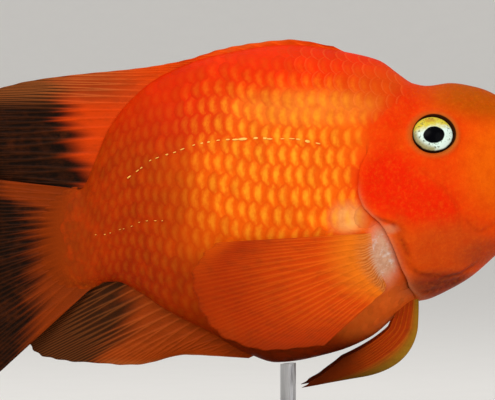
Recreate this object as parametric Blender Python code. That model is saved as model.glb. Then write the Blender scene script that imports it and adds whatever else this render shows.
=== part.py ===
"""Blood parrot cichlid at life size, swimming on a plain display stand.

The fish faces +X with its left side towards +Y and its back up. The origin is the centre of the
base's underside. Sizes are in millimetres up to the moment when a mesh is made.
"""

import math

import bpy
import numpy as np

MM = 0.001
GAP = 0.3

# Stand
BASE_LENGTH = 126.0
BASE_WIDTH = 78.0
BASE_HEIGHT = 8.0
BASE_CORNER = 14.0
BASE_BEVEL = 1.2
ROD_RADIUS = 2.6
ROD_SIDES = 20
COLLAR_RADIUS = 5.2
COLLAR_HEIGHT = 4.5
ROD_CLEARANCE = 18.0

# Places of the fish over the stand: its lowest belly point is the zero of the outlines below.
BELLY_X = -2.0
BELLY_Z = BASE_HEIGHT + ROD_CLEARANCE
TAIL_BEND = 0.00075
BEND_START = 5.0

# Outlines of the flesh in side view, as (x, height) from the nose to the tail fan.
NOSE_X = 82.8
BACK_LINE = (
    (82.8, 58.8), (82.4, 63.0), (81.0, 69.5), (78.2, 77.5), (74.8, 84.2), (70.3, 88.6),
    (63.5, 91.2), (55.5, 92.4), (47.8, 91.5), (43.0, 92.6), (38.9, 95.4), (32.3, 100.0),
    (24.1, 102.3), (2.6, 105.3), (-20.5, 102.1), (-40.3, 95.0), (-50.5, 86.8),
    (-57.8, 77.0), (-62.4, 66.2), (-66.0, 58.7), (-73.0, 56.8),
)
BELLY_LINE = (
    (82.8, 58.8), (82.3, 53.5), (79.6, 46.0), (75.5, 40.2), (70.3, 35.4), (60.4, 27.2),
    (48.8, 21.5), (42.8, 19.7), (38.9, 16.6), (29.0, 8.3), (15.8, 3.0), (-2.0, 0.0),
    (-10.6, 2.6), (-23.8, 9.9), (-38.6, 17.4), (-48.0, 23.6), (-55.0, 26.6), (-66.7, 25.7),
    (-73.0, 25.6),
)
HALF_WIDTH = (
    (82.8, 0.0), (82.3, 3.6), (80.6, 6.4), (77.0, 9.6), (72.0, 13.0), (63.7, 17.2),
    (50.0, 21.6), (37.0, 24.4), (22.0, 26.0), (5.0, 26.0), (-12.0, 24.2), (-30.0, 19.6),
    (-45.0, 14.0), (-56.0, 9.4), (-66.0, 5.0), (-73.0, 2.6),
)
WIDEST_SHARE = ((82.8, 0.5), (70.0, 0.5), (50.0, 0.44), (25.0, 0.44), (-15.0, 0.47), (-73.0, 0.5))
UPPER_POWER = 1.8
LOWER_POWER = 2.1

# Edges between the fleshy parts, as (share of the height from -1 belly to 1 back, x).
GILL_OPENING = ((-1.0, 44.2), (-0.64, 39.7), (-0.26, 30.0), (0.0, 24.2), (0.22, 24.7),
                (0.45, 27.9), (0.72, 37.3), (1.0, 45.2))
STALK_EDGE = ((-1.0, -52.1), (1.0, -62.9))
FAN_EDGE = ((-1.0, -59.0), (-0.75, -67.6), (-0.3, -71.6), (0.3, -72.0), (0.75, -69.6), (1.0, -66.0))

# Head
EYE_AT = (48.9, 75.2)
EYE_RADIUS = 6.5
EYE_DEPTH = 4.7
EYE_SINK = 1.5
ORBIT_PROFILE = ((8.4, -3.0), (8.4, -0.6), (7.5, 0.75), (5.9, 0.9), (2.0, 0.9))
NOSTRIL_AT = (71.5, 75.5)
NOSTRIL_PROFILE = ((0.36, -1.8), (0.9, 1.2))
NOSTRIL_SIDES = 8
CHEEK = (43.0, 50.0, 15.0, 1.3)
MOUTH_HEIGHT = 56.8
MOUTH_CORNER_X = 77.2
MOUTH_DROP = 3.0
MOUTH_OPENING = 0.8
MOUTH_RINGS = ((-9.0, 1.5, 0.3), (-6.0, 4.2, 0.64), (3.0, 5.4, 0.8))
MOUTH_SIDES = 12
LIP_WIDTH = 4.8
LIP_THICKNESS = 2.1
LIP_EDGE = 0.35
LIP_SWING = 86.0
GILL_DROP = 0.7
GILL_RAISE = 1.0
GILL_CLEARANCE = 0.45
GILL_THICKNESS = (0.35, 0.9)
GILL_BED_AHEAD = 6.0
GILL_BED_BEHIND = 7.0
GILL_BED_FADE = 4.0
GILL_BED_HEIGHTS = (23.0, 86.0)
GILL_REAR = ((34.0, 79.0), (27.8, 72.4), (25.7, 65.8), (25.0, 58.0), (27.4, 50.4), (33.0, 46.9),
             (38.2, 42.8), (41.2, 35.8), (45.8, 31.4), (51.0, 29.8))
GILL_FRONT = ((38.0, 78.0), (40.6, 72.0), (43.4, 66.0), (46.6, 60.0), (50.2, 54.0), (53.6, 47.6),
              (56.0, 41.6), (57.4, 36.4), (57.4, 33.2), (55.8, 31.0))

# Fins: where each ray starts and where it ends, first ray first.
MEMBRANE = 0.6
RAY_ROOT = 1.5
RAY_TIP = 0.9
FIN_ROOT = 2.6
SCALLOP = 0.012
RIDGE_ANGLE = 7.0
DORSAL_RAYS = 28
DORSAL_BASE_X = (22.4, -8.9, -27.1, -38.0, -48.8, -58.0, -66.8)
DORSAL_TIPS = ((15.0, 105.4), (-10.0, 106.6), (-31.0, 100.8), (-52.0, 97.0), (-82.0, 93.6),
               (-106.0, 86.0), (-112.0, 71.0), (-90.0, 60.2))
ANAL_RAYS = 17
ANAL_BASE_X = (-9.0, -18.0, -28.0, -38.0, -48.0, -56.5)
ANAL_TIPS = ((-11.0, 1.6), (-31.0, 2.6), (-49.5, -0.9), (-72.6, 0.5), (-83.6, 5.6), (-65.0, 24.6))
FAN_RAYS = 20
FAN_TIPS = ((-111.9, 62.6), (-117.6, 50.0), (-119.5, 37.0), (-116.6, 22.0), (-109.0, 7.6), (-96.4, -5.9))
PECTORAL_RAYS = 13
PECTORAL_BASE = ((29.6, 43.1), (30.4, 37.6), (31.9, 31.8), (34.2, 25.9))
PECTORAL_TIPS = ((-19.8, 40.3), (-28.0, 31.0), (-21.8, 13.9), (-4.8, 6.0), (13.0, 7.4))
PECTORAL_FLARE = 5.5
PECTORAL_FLATTEN = 0.5
PECTORAL_LEVEL = 44.0
PELVIC_RAYS = 6
PELVIC_ROOTS = ((44.6, 20.0), (37.6, 14.6))
PELVIC_ELBOWS = ((47.2, -2.3), (32.5, 8.0))
PELVIC_TIPS = ((22.5, -4.6), (5.3, -7.9), (10.5, -4.6), (20.0, 2.2))
PELVIC_SPREAD = (5.0, 10.5)
PELVIC_FAN = 1.5

# How far each middle fin leans to one side at its tips, and how far a fin stands off the flesh.
DORSAL_LEAN = 3.0
DORSAL_LEAN_START = 0.4
ANAL_LEAN = 5.5
FAN_LEAN = 3.0
FIN_STANDOFF = 0.35
FAN_SPAN = 0.94

# Mesh density
RING = 36
HEAD_ROWS = 20
TRUNK_ROWS = 22
STALK_ROWS = 5
CAP_SHARES = (0.8, 0.5, 0.2)
NOSE_CUT = 0.02
EYE_ROWS = 9
EYE_SIDES = 20
MEDIAN_ROWS = 8
PAIRED_ROWS = 9

FINISHES = {
    "skin_orange": ((0.84, 0.13, 0.015), 0.34),
    "skin_red": ((0.80, 0.05, 0.01), 0.32),
    "skin_head": ((0.76, 0.15, 0.01), 0.30),
    "fin_membrane": ((0.55, 0.13, 0.03), 0.40),
    "fin_clear": ((0.80, 0.16, 0.03), 0.38),
    "eye_silver": ((0.80, 0.78, 0.62), 0.12),
    "lip_flesh": ((0.80, 0.24, 0.10), 0.34),
    "stand_black": ((0.02, 0.02, 0.022), 0.35),
    "stand_steel": ((0.62, 0.62, 0.62), 0.28),
}
METALS = ("stand_steel",)


def clear_scene():
    """Remove whatever the file holds."""
    for thing in list(bpy.data.objects):
        bpy.data.objects.remove(thing, do_unlink=True)


def finish(name):
    """The Principled material of a named finish."""
    found = bpy.data.materials.get(name)
    if found:
        return found
    colour, roughness = FINISHES[name]
    made = bpy.data.materials.new(name)
    made.use_nodes = True
    shader = made.node_tree.nodes["Principled BSDF"]
    shader.inputs["Base Color"].default_value = (*colour, 1.0)
    shader.inputs["Roughness"].default_value = roughness
    shader.inputs["Metallic"].default_value = 1.0 if name in METALS else 0.0
    made.diffuse_color = (*colour, 1.0)
    return made


def smooth_curve(knots, values, at):
    """Monotone cubic through the knots: no wiggle between two points and no overshoot at a peak."""
    knots = np.asarray(knots, float)
    values = np.asarray(values, float)
    step = np.diff(knots)
    slope = np.diff(values) / step
    tangent = np.empty_like(values)
    tangent[0] = slope[0]
    tangent[-1] = slope[-1]
    before, after = slope[:-1], slope[1:]
    first = 2 * step[1:] + step[:-1]
    second = step[1:] + 2 * step[:-1]
    same = before * after > 0
    safe_before = np.where(same, before, 1.0)
    safe_after = np.where(same, after, 1.0)
    mean = (first + second) / (first / safe_before + second / safe_after)
    tangent[1:-1] = np.where(same, mean, 0.0)
    at = np.clip(at, knots[0], knots[-1])
    cell = np.clip(np.searchsorted(knots, at, side="right") - 1, 0, len(step) - 1)
    share = (at - knots[cell]) / step[cell]
    rise = share * share * (3 - 2 * share)
    lead = share * (1 - share) ** 2 * step[cell]
    trail = share * share * (share - 1) * step[cell]
    start, end = values[cell], values[cell + 1]
    return start + (end - start) * rise + tangent[cell] * lead + tangent[cell + 1] * trail


def along(x):
    """Distance behind the nose, as a root, so that the blunt nose is drawn without a kink."""
    return np.sqrt(np.clip(NOSE_X - np.asarray(x, float), 0.0, None))


def follow(table, x):
    """Value of an outline table at x."""
    places, values = np.array(table).T
    return smooth_curve(along(places), values, along(x))


def edge_x(table, height_share):
    """Where an edge between two fleshy parts runs, at each share of the height."""
    shares, places = np.array(table).T
    return smooth_curve(shares, places, height_share)


def through(points, shares):
    """Points on a smooth curve through a list of points, evenly shared out by their number."""
    points = np.array(points, float)
    knots = np.linspace(0.0, 1.0, len(points))
    return np.stack([smooth_curve(knots, column, shares) for column in points.T], axis=-1)


def section(x):
    """Top, widest height, bottom and half-width of the flesh at x."""
    top = follow(BACK_LINE, x)
    bottom = follow(BELLY_LINE, x)
    middle = bottom + (top - bottom) * follow(WIDEST_SHARE, x)
    return top, middle, bottom, follow(HALF_WIDTH, x)


def relief(x, z):
    """Local swell of the cheek, and the shallow bed that the gill cover lies in."""
    cheek_x, cheek_z, reach, height = CHEEK
    swell = height * np.exp(-((x - cheek_x) ** 2 + (z - cheek_z) ** 2) / reach**2)
    shares = np.linspace(0.0, 1.0, 25)
    rear = through(GILL_REAR, shares)
    front = through(GILL_FRONT, shares)
    order = np.argsort(rear[:, 1])
    rear_x = np.interp(z, rear[order, 1], rear[order, 0])
    order = np.argsort(front[:, 1])
    front_x = np.interp(z, front[order, 1], front[order, 0])
    low, high = GILL_BED_HEIGHTS
    bed = np.ones_like(x * z)
    for inside in (front_x + GILL_BED_AHEAD - x, x - rear_x + GILL_BED_BEHIND, z - low, high - z):
        bed = bed * np.clip(inside / GILL_BED_FADE, 0.0, 1.0)
    return swell - GILL_DROP * bed * bed * (3 - 2 * bed)


def flank(x, z, with_relief=True):
    """Half-width of the flesh at a point of the side view, from the oval section at x."""
    top, middle, bottom, width = section(x)
    upper = z > middle
    reach = np.where(upper, top - middle, middle - bottom)
    share = np.clip(np.abs(z - middle) / np.maximum(reach, 1e-6), 0.0, 1.0)
    power = np.where(upper, UPPER_POWER, LOWER_POWER)
    half = width * (1 - share**power) ** (1 / power)
    if with_relief:
        half = half + relief(x, z) * (1 - share**6) * (x > 20.0)
    return half


def underside(x, y):
    """Height of the belly at a point of the view from below."""
    _, middle, bottom, width = section(x)
    share = np.clip(np.abs(y) / width, 0.0, 1.0)
    return middle - (middle - bottom) * (1 - share**LOWER_POWER) ** (1 / LOWER_POWER)


def skin_points(x, turn):
    """Flesh surface at x and at an angle round the section, 0 at the left and a quarter at the back."""
    top, middle, bottom, _ = section(x)
    sine, cosine = np.sin(turn), np.cos(turn)
    power = np.where(sine > 0, UPPER_POWER, LOWER_POWER)
    share = np.sign(sine) * np.abs(sine) ** (2 / power)
    z = middle + share * np.where(sine > 0, top - middle, middle - bottom)
    y = np.sign(cosine) * flank(x, z) * (np.abs(cosine) > 1e-9)
    return np.stack([x + 0 * y, y, z], axis=-1)


def height_share(turn):
    """Share of the height, from -1 at the belly to 1 at the back, at an angle round the section."""
    sine = np.sin(turn)
    power = np.where(sine > 0, UPPER_POWER, LOWER_POWER)
    return np.sign(sine) * np.abs(sine) ** (2 / power)


def bend(points):
    """Swing the rear of the fish gently to its left and set the fish over its stand."""
    behind = np.clip(BEND_START - points[..., 0], 0.0, None)
    placed = points + np.array([BELLY_X, 0.0, BELLY_Z])
    placed[..., 1] += TAIL_BEND * behind**2
    return placed


def make_node(name, points, faces, material, smooth_angle=50.0):
    """One named object from points in millimetres and its faces."""
    mesh = bpy.data.meshes.new(name)
    mesh.from_pydata((np.asarray(points).reshape(-1, 3) * MM).tolist(), [], faces)
    mesh.validate()
    mesh.shade_smooth()
    mesh.set_sharp_from_angle(angle=math.radians(smooth_angle))
    mesh.materials.append(finish(material))
    made = bpy.data.objects.new(name, mesh)
    bpy.context.scene.collection.objects.link(made)
    return made


def grid_triangles(rows, columns, offset=0, flip=False):
    """Triangles of a grid of points, all split along the same diagonal."""
    faces = []
    for row in range(rows - 1):
        for column in range(columns - 1):
            a = offset + row * columns + column
            b, c, d = a + 1, a + columns + 1, a + columns
            for face in ((a, b, c), (a, c, d)):
                faces.append(face[::-1] if flip else face)
    return faces


def rim_triangles(rows, columns):
    """Triangles that join the borders of two grids, the second one's points after the first one's."""
    border = [(0, column) for column in range(columns)]
    border += [(row, columns - 1) for row in range(1, rows)]
    border += [(rows - 1, column) for column in range(columns - 2, -1, -1)]
    border += [(row, 0) for row in range(rows - 2, 0, -1)]
    ids = [row * columns + column for row, column in border]
    shift = rows * columns
    faces = []
    for here, there in zip(ids, ids[1:] + ids[:1]):
        faces.append((here, here + shift, there + shift))
        faces.append((here, there + shift, there))
    return faces


def make_sheet(name, outer, inner, material, smooth_angle=50.0):
    """Closed sheet between two like grids of points, split into triangles alike on both faces."""
    rows, columns = outer.shape[:2]
    points = np.concatenate([outer.reshape(-1, 3), inner.reshape(-1, 3)])
    faces = grid_triangles(rows, columns)
    faces += grid_triangles(rows, columns, rows * columns, flip=True)
    faces += rim_triangles(rows, columns)
    corners = points[np.array(faces)]
    volume = np.einsum("ij,ij->i", corners[:, 0], np.cross(corners[:, 1], corners[:, 2])).sum()
    if volume < 0:
        faces = [face[::-1] for face in faces]
    return make_node(name, points, faces, material, smooth_angle)


def make_loft(name, rings, material):
    """Closed body from a stack of rings, with a point or a small ring drawn together at each end."""
    count, around = rings.shape[:2]
    points = np.concatenate([rings.reshape(-1, 3), rings[[0, -1]].mean(axis=1)])
    first, last = count * around, count * around + 1
    faces = []
    for step in range(around):
        after = (step + 1) % around
        faces.append((first, after, step))
        low = (count - 1) * around
        faces.append((last, low + step, low + after))
        for row in range(count - 1):
            a, b = row * around + step, row * around + after
            faces.append((a, b, b + around))
            faces.append((a, b + around, a + around))
    corners = points[np.array(faces)]
    volume = np.einsum("ij,ij->i", corners[:, 0], np.cross(corners[:, 1], corners[:, 2])).sum()
    if volume < 0:
        faces = [face[::-1] for face in faces]
    return make_node(name, points, faces, material)


def grid_normals(points):
    """Unit normals of a grid of points."""
    down = np.gradient(points, axis=0)
    across = np.gradient(points, axis=1)
    normal = np.cross(down, across)
    return normal / np.linalg.norm(normal, axis=-1, keepdims=True)


def end_rings(turn, table, shift, shares):
    """Rings that close a fleshy part at an edge: the edge's own ring drawn in towards the axis."""
    place = edge_x(table, height_share(turn)) + shift
    ring = skin_points(place, turn)
    axis = ring.mean(axis=0)
    flat = ring[:, 0].mean()
    rings = []
    for share in shares:
        drawn = axis + (ring - axis) * share
        drawn[:, 0] = flat + (ring[:, 0] - flat) * share
        rings.append(drawn)
    return rings


def flesh_rings(rows, turn, front, back):
    """Rings from one edge to the next, each an edge's own curve at the ends and blended between."""
    shares = np.linspace(0.0, 1.0, rows)
    front_place, back_place = along(front), along(back)
    rings = []
    for share in shares:
        place = NOSE_X - (front_place + (back_place - front_place) * share) ** 2
        rings.append(skin_points(place, turn))
    return rings


def ring_turns():
    """Angles of the points of one ring round the section."""
    return np.linspace(0.0, 2 * math.pi, RING, endpoint=False)


def build_head():
    """Head from the nose to the gill opening, before its openings are cut."""
    turn = ring_turns()
    edge = edge_x(GILL_OPENING, height_share(turn))
    rings = flesh_rings(HEAD_ROWS, turn, np.full_like(edge, NOSE_X - NOSE_CUT), edge)
    rings += end_rings(turn, GILL_OPENING, 0.0, CAP_SHARES)
    return make_loft("head", bend(np.array(rings)), "skin_head")


def build_trunk():
    """Trunk from the gill opening to the front of the tail stalk."""
    turn = ring_turns()
    share = height_share(turn)
    front = edge_x(GILL_OPENING, share) - GAP
    back = edge_x(STALK_EDGE, share)
    rings = end_rings(turn, GILL_OPENING, -GAP, CAP_SHARES)[::-1]
    rings += flesh_rings(TRUNK_ROWS, turn, front, back)
    rings += end_rings(turn, STALK_EDGE, 0.0, CAP_SHARES)
    return make_loft("trunk", bend(np.array(rings)), "skin_orange")


def build_stalk():
    """Tail stalk, which thins down to the root of the tail fan."""
    turn = ring_turns()
    share = height_share(turn)
    front = edge_x(STALK_EDGE, share) - GAP
    back = edge_x(FAN_EDGE, share)
    rings = end_rings(turn, STALK_EDGE, -GAP, CAP_SHARES)[::-1]
    rings += flesh_rings(STALK_ROWS, turn, front, back)
    rings += end_rings(turn, FAN_EDGE, 0.0, CAP_SHARES)
    return make_loft("tail_stalk", bend(np.array(rings)), "skin_orange")


def side_frame(x, z):
    """Point of the left flank with its outward, level and upright directions."""
    step = 0.5
    here = np.array([x, float(flank(x, z, False)), z])
    ahead = np.array([x + step, float(flank(x + step, z, False)), z]) - here
    above = np.array([x, float(flank(x, z + step, False)), z + step]) - here
    outward = np.cross(above, ahead)
    outward /= np.linalg.norm(outward)
    level = ahead / np.linalg.norm(ahead)
    upright = np.cross(level, outward)
    if upright[2] < 0:
        upright = -upright
    return here, outward, level, upright


def spun_body(name, centre, axes, profile, around, side, material):
    """Body of revolution from (radius, height) pairs about the outward axis, on either flank."""
    outward, level, upright = axes
    turn = np.linspace(0.0, 2 * math.pi, around, endpoint=False)
    spokes = np.cos(turn)[:, None] * level + np.sin(turn)[:, None] * upright
    rings = [centre + outward * height + spokes * radius for radius, height in profile]
    rings = np.array(rings)
    rings[..., 1] *= side
    return make_loft(name, bend(rings), material)


def spheroid_profile(radius, depth, steps):
    """Profile of a flattened ball from its back to its front."""
    angles = np.linspace(-0.5, 0.5, steps + 2)[1:-1] * math.pi
    return [(radius * math.cos(angle), depth * math.sin(angle)) for angle in angles]


def as_cutter(thing):
    """Keep a tool shape out of the render."""
    thing.hide_render = True
    thing.display_type = "WIRE"
    return thing


def collect(name, things):
    """Move things into a collection of their own, for a Boolean."""
    group = bpy.data.collections.new(name)
    bpy.context.scene.collection.children.link(group)
    for thing in things:
        bpy.context.scene.collection.objects.unlink(thing)
        group.objects.link(as_cutter(thing))
    return group


def boolean(thing, name, operation, group):
    """Add a Boolean with a whole collection."""
    tool = thing.modifiers.new(name, "BOOLEAN")
    tool.operation = operation
    tool.operand_type = "COLLECTION"
    tool.collection = group
    tool.solver = "EXACT"


def build_eyes(head):
    """Eyeballs, their sockets and the raised rim round each."""
    here, outward, level, upright = side_frame(*EYE_AT)
    axes = (outward, level, upright)
    centre = here - outward * EYE_SINK
    rims, sockets = [], []
    ball = spheroid_profile(EYE_RADIUS, EYE_DEPTH, EYE_ROWS)
    hole = spheroid_profile(EYE_RADIUS + GAP, EYE_DEPTH + GAP, EYE_ROWS)
    for side, word in ((-1, "right"), (1, "left")):
        spun_body(f"eye_{word}", centre, axes, ball, EYE_SIDES, side, "eye_silver")
        sockets.append(spun_body(f"socket_{word}", centre, axes, hole, EYE_SIDES, side, "skin_head"))
        rims.append(spun_body(f"rim_{word}", here, axes, ORBIT_PROFILE, EYE_SIDES, side, "skin_head"))
    boolean(head, "eye_rims", "UNION", collect("eye_rims", rims))
    return sockets


def build_openings(head, sockets):
    """Sockets, nostrils and the slit of the mouth, cut from the head."""
    tools = list(sockets)
    here, outward, level, upright = side_frame(*NOSTRIL_AT)
    for side, word in ((-1, "right"), (1, "left")):
        axes = (outward, level, upright)
        pit = spun_body(f"nostril_{word}", here, axes, NOSTRIL_PROFILE, NOSTRIL_SIDES, side, "skin_head")
        tools.append(pit)
    turn = np.linspace(0.0, 2 * math.pi, MOUTH_SIDES, endpoint=False)
    rings = []
    for place, half_width, half_height in MOUTH_RINGS:
        across, up = half_width * np.cos(turn), half_height * np.sin(turn)
        ring = np.stack([np.full_like(turn, place), across, up], axis=-1)
        rings.append(ring + np.array([NOSE_X, 0.0, MOUTH_HEIGHT]))
    tools.append(make_loft("mouth_slit", bend(np.array(rings)), "skin_head"))
    boolean(head, "openings", "DIFFERENCE", collect("openings", tools))


def snout_x(z):
    """Foremost x of the flesh at a height near the mouth."""
    place = NOSE_X - np.linspace(0.0, 4.5, 60) ** 2
    lower = follow(BELLY_LINE, place)[::-1]
    upper = follow(BACK_LINE, place)
    return np.interp(z, np.concatenate([lower, upper[1:]]), np.concatenate([place[::-1], place[1:]]))


def build_lips():
    """Two lips that wrap the front of the snout, each thickest at the middle of its width."""
    turn = np.linspace(-1.0, 1.0, 19) * math.radians(LIP_SWING)
    across = np.linspace(0.0, 1.0, 6)
    swing, share = np.meshgrid(turn, across, indexing="ij")
    for word, way in (("upper", 1), ("lower", -1)):
        width = LIP_WIDTH * (0.3 + 0.7 * np.cos(swing))
        line = MOUTH_HEIGHT - MOUTH_DROP * (1 - np.cos(swing))
        z = line + way * (MOUTH_OPENING + 0.1 + share * width)
        front = snout_x(z)
        x = MOUTH_CORNER_X + (front - MOUTH_CORNER_X) * np.cos(swing)
        y = np.sign(swing) * flank(x, z, False) * (np.abs(swing) > 1e-6)
        skin = np.stack([x, y, z], axis=-1)
        normal = grid_normals(skin)
        if normal[len(turn) // 2, 2, 0] < 0:
            normal = -normal
        crest = np.sin(math.pi * share**0.6) ** 0.8 * np.cos(swing * 0.9)
        swell = LIP_EDGE + (LIP_THICKNESS - LIP_EDGE) * crest
        inner = skin + normal * GAP
        outer = inner + normal * swell[..., None]
        make_sheet(f"{word}_lip", bend(outer), bend(inner), "lip_flesh")


def build_gill_covers():
    """Gill covers, flush in front and standing off the shoulder at the rear edge."""
    down = np.linspace(0.0, 1.0, 16)
    rear = through(GILL_REAR, down)
    front = through(GILL_FRONT, down)
    ahead = np.linspace(0.0, 1.0, 8)[None, :]
    x = rear[:, :1] + (front[:, :1] - rear[:, :1]) * ahead
    z = rear[:, 1:] + (front[:, 1:] - rear[:, 1:]) * ahead
    bed = np.stack([x, flank(x, z), z], axis=-1)
    normal = grid_normals(bed)
    normal *= np.sign(normal[..., 1:2])
    edge, swell = GILL_THICKNESS
    thick = GILL_RAISE * (1 - ahead) ** 2 + edge + swell * np.sin(math.pi * ahead) ** 0.5 + 0 * x
    inner = bed + normal * GILL_CLEARANCE
    outer = inner + normal * thick[..., None]
    for side, word in ((-1, "right"), (1, "left")):
        mirror = np.array([1.0, side, 1.0])
        make_sheet(f"gill_cover_{word}", bend(outer * mirror), bend(inner * mirror), "skin_red")


def ray_columns(rays):
    """Shares along a fin's base: a hollow and a ray by turns, with a ray at each end."""
    return np.linspace(0.0, 1.0, 2 * rays - 1)


def half_thickness(rays, grow):
    """Half the sheet's thickness: rays stand as ridges, hollows fill up towards the fleshy root."""
    is_ray = (np.arange(2 * rays - 1) % 2 == 0)[:, None]
    ridge = RAY_ROOT + (RAY_TIP - RAY_ROOT) * grow
    sheet = np.where(is_ray, ridge, MEMBRANE)
    root = np.clip(1 - grow / 0.12, 0.0, 1.0) ** 1.5
    return (sheet + (FIN_ROOT - sheet) * root) / 2


def median_fin(name, base, tips, rays, rows, sweep, material):
    """Fin in the fish's own plane: rays run straight from base to tip, with a scalloped edge."""
    grow = np.linspace(0.0, 1.0, rows)[None, :]
    is_ray = (np.arange(2 * rays - 1) % 2 == 0)[:, None]
    reach = grow * np.where(is_ray, 1.0, 1 - SCALLOP)
    place = base[:, None, :] + (tips - base)[:, None, :] * reach[..., None]
    half = half_thickness(rays, grow)
    aside = sweep * reach**2
    outer = np.stack([place[..., 0], aside + half, place[..., 1]], axis=-1)
    inner = np.stack([place[..., 0], aside - half, place[..., 1]], axis=-1)
    return make_sheet(name, bend(outer), bend(inner), material, RIDGE_ANGLE)


def outline_normal(line, x, way):
    """Outward direction of the back or belly line in side view."""
    step = 0.2
    slope = (follow(line, x + step) - follow(line, x - step)) / (2 * step)
    normal = np.stack([-slope, np.ones_like(slope)], axis=-1) * way
    return normal / np.linalg.norm(normal, axis=-1, keepdims=True)


def build_dorsal_fin():
    """Long fin along the back: low spines in front, a soft swept fan behind."""
    shares = ray_columns(DORSAL_RAYS)
    x = through([(place,) for place in DORSAL_BASE_X], shares)[:, 0]
    base = np.stack([x, follow(BACK_LINE, x)], axis=-1)
    base = base + outline_normal(BACK_LINE, x, 1) * FIN_STANDOFF
    tips = through(DORSAL_TIPS, shares)
    sweep = DORSAL_LEAN * np.clip(shares - DORSAL_LEAN_START, 0.0, 1.0)[:, None]
    return median_fin("dorsal_fin", base, tips, DORSAL_RAYS, MEDIAN_ROWS, sweep, "fin_membrane")


def build_anal_fin():
    """Fin under the tail, swept back beside the fan's lower lobe."""
    shares = ray_columns(ANAL_RAYS)
    x = through([(place,) for place in ANAL_BASE_X], shares)[:, 0]
    base = np.stack([x, follow(BELLY_LINE, x)], axis=-1)
    base = base + outline_normal(BELLY_LINE, x, -1) * FIN_STANDOFF
    tips = through(ANAL_TIPS, shares)
    sweep = ANAL_LEAN * shares[:, None]
    return median_fin("anal_fin", base, tips, ANAL_RAYS, MEDIAN_ROWS, sweep, "fin_membrane")


def build_tail_fan():
    """Tail fan, a wide triangle whose rays leave the rounded end of the stalk."""
    shares = ray_columns(FAN_RAYS)
    share = FAN_SPAN * (1 - 2 * shares)
    x = edge_x(FAN_EDGE, share)
    top, middle, bottom, _ = section(x)
    z = middle + share * np.where(share > 0, top - middle, middle - bottom)
    base = np.stack([x - GAP - 0.1, z], axis=-1)
    tips = through(FAN_TIPS, shares)
    sweep = -FAN_LEAN * np.abs(2 * shares - 1)[:, None] ** 2
    return median_fin("tail_fin", base, tips, FAN_RAYS, MEDIAN_ROWS, sweep, "fin_membrane")


def build_pectoral_fins():
    """Side fins that lie back along the flank, a little flatter than the belly behind them."""
    shares = ray_columns(PECTORAL_RAYS)
    grow = np.linspace(0.0, 1.0, PAIRED_ROWS)[None, :]
    is_ray = (np.arange(len(shares)) % 2 == 0)[:, None]
    reach = grow * np.where(is_ray, 1.0, 1 - SCALLOP)
    base, tips = through(PECTORAL_BASE, shares), through(PECTORAL_TIPS, shares)
    place = base[:, None, :] + (tips - base)[:, None, :] * reach[..., None]
    x, z = place[..., 0], place[..., 1]
    flatter = z + (PECTORAL_LEVEL - z) * PECTORAL_FLATTEN * np.clip(reach * 4, 0.0, 1.0)
    skin = np.stack([x, flank(x, flatter, False), z], axis=-1)
    normal = grid_normals(skin)
    normal *= np.sign(normal[..., 1:2])
    half = half_thickness(PECTORAL_RAYS, grow)
    lift = GAP + 0.1 + half + PECTORAL_FLARE * reach**1.3
    middle = skin + normal * lift[..., None]
    for side, word in ((-1, "right"), (1, "left")):
        mirror = np.array([1.0, side, 1.0])
        outer = (middle + normal * half[..., None]) * mirror
        inner = (middle - normal * half[..., None]) * mirror
        make_sheet(f"pectoral_fin_{word}", bend(outer), bend(inner), "fin_clear", RIDGE_ANGLE)


def build_pelvic_fins():
    """Paired fins under the throat, whose rays turn back from a root on the belly."""
    shares = ray_columns(PELVIC_RAYS)
    grow = np.linspace(0.0, 1.0, PAIRED_ROWS)[None, :, None]
    root = through(PELVIC_ROOTS, shares)[:, None, :]
    elbow = through(PELVIC_ELBOWS, shares)[:, None, :]
    tip = through(PELVIC_TIPS, shares)[:, None, :]
    place = root * (1 - grow) ** 2 + 2 * elbow * grow * (1 - grow) + tip * grow**2
    x, z = place[..., 0], place[..., 1]
    near, far = PELVIC_SPREAD
    aside = near + (far - near) * grow[..., 0] + PELVIC_FAN * shares[:, None]
    half = half_thickness(PELVIC_RAYS, grow[..., 0])
    rooted = np.clip(1 - grow[..., 0] * 5, 0.0, 1.0)
    for side, word in ((-1, "right"), (1, "left")):
        faces = []
        for y in (aside + half, aside - half):
            fitted = z + (underside(x, y) - GAP - 0.25 - z) * rooted
            faces.append(np.stack([x, side * y, fitted], axis=-1))
        make_sheet(f"pelvic_fin_{word}", bend(faces[0]), bend(faces[1]), "fin_clear", RIDGE_ANGLE)


def build_base():
    """Flat base with round corners and a bevelled upper edge."""
    turn = np.linspace(0.0, 2 * math.pi, 48, endpoint=False)
    corner_x = BASE_LENGTH / 2 - BASE_CORNER
    corner_y = BASE_WIDTH / 2 - BASE_CORNER
    centre = np.stack([np.sign(np.cos(turn + 1e-6)) * corner_x, np.sign(np.sin(turn + 1e-6)) * corner_y], -1)
    spoke = np.stack([np.cos(turn), np.sin(turn)], -1)
    rings = []
    for inset, height in ((0.0, 0.0), (0.0, BASE_HEIGHT - BASE_BEVEL), (BASE_BEVEL, BASE_HEIGHT)):
        flat = centre + spoke * (BASE_CORNER - inset)
        rings.append(np.column_stack([flat, np.full(len(turn), height)]))
    make_loft("stand_base", np.array(rings), "stand_black")


def rod_spokes():
    """Unit directions round the rod, shared by the rod and its collar."""
    turn = np.linspace(0.0, 2 * math.pi, ROD_SIDES, endpoint=False)
    return np.stack([np.cos(turn), np.sin(turn)], -1)


def build_rod():
    """Rod from the base to the belly, its top cut to the belly's own slope."""
    circle = rod_spokes() * ROD_RADIUS
    low = np.full(ROD_SIDES, BASE_HEIGHT + GAP)
    belly = underside(circle[:, 0] - BELLY_X, circle[:, 1]) + BELLY_Z
    rings = [np.column_stack([circle, low]), np.column_stack([circle, belly - GAP - 0.15])]
    make_loft("stand_rod", np.array(rings), "stand_steel")


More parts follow.
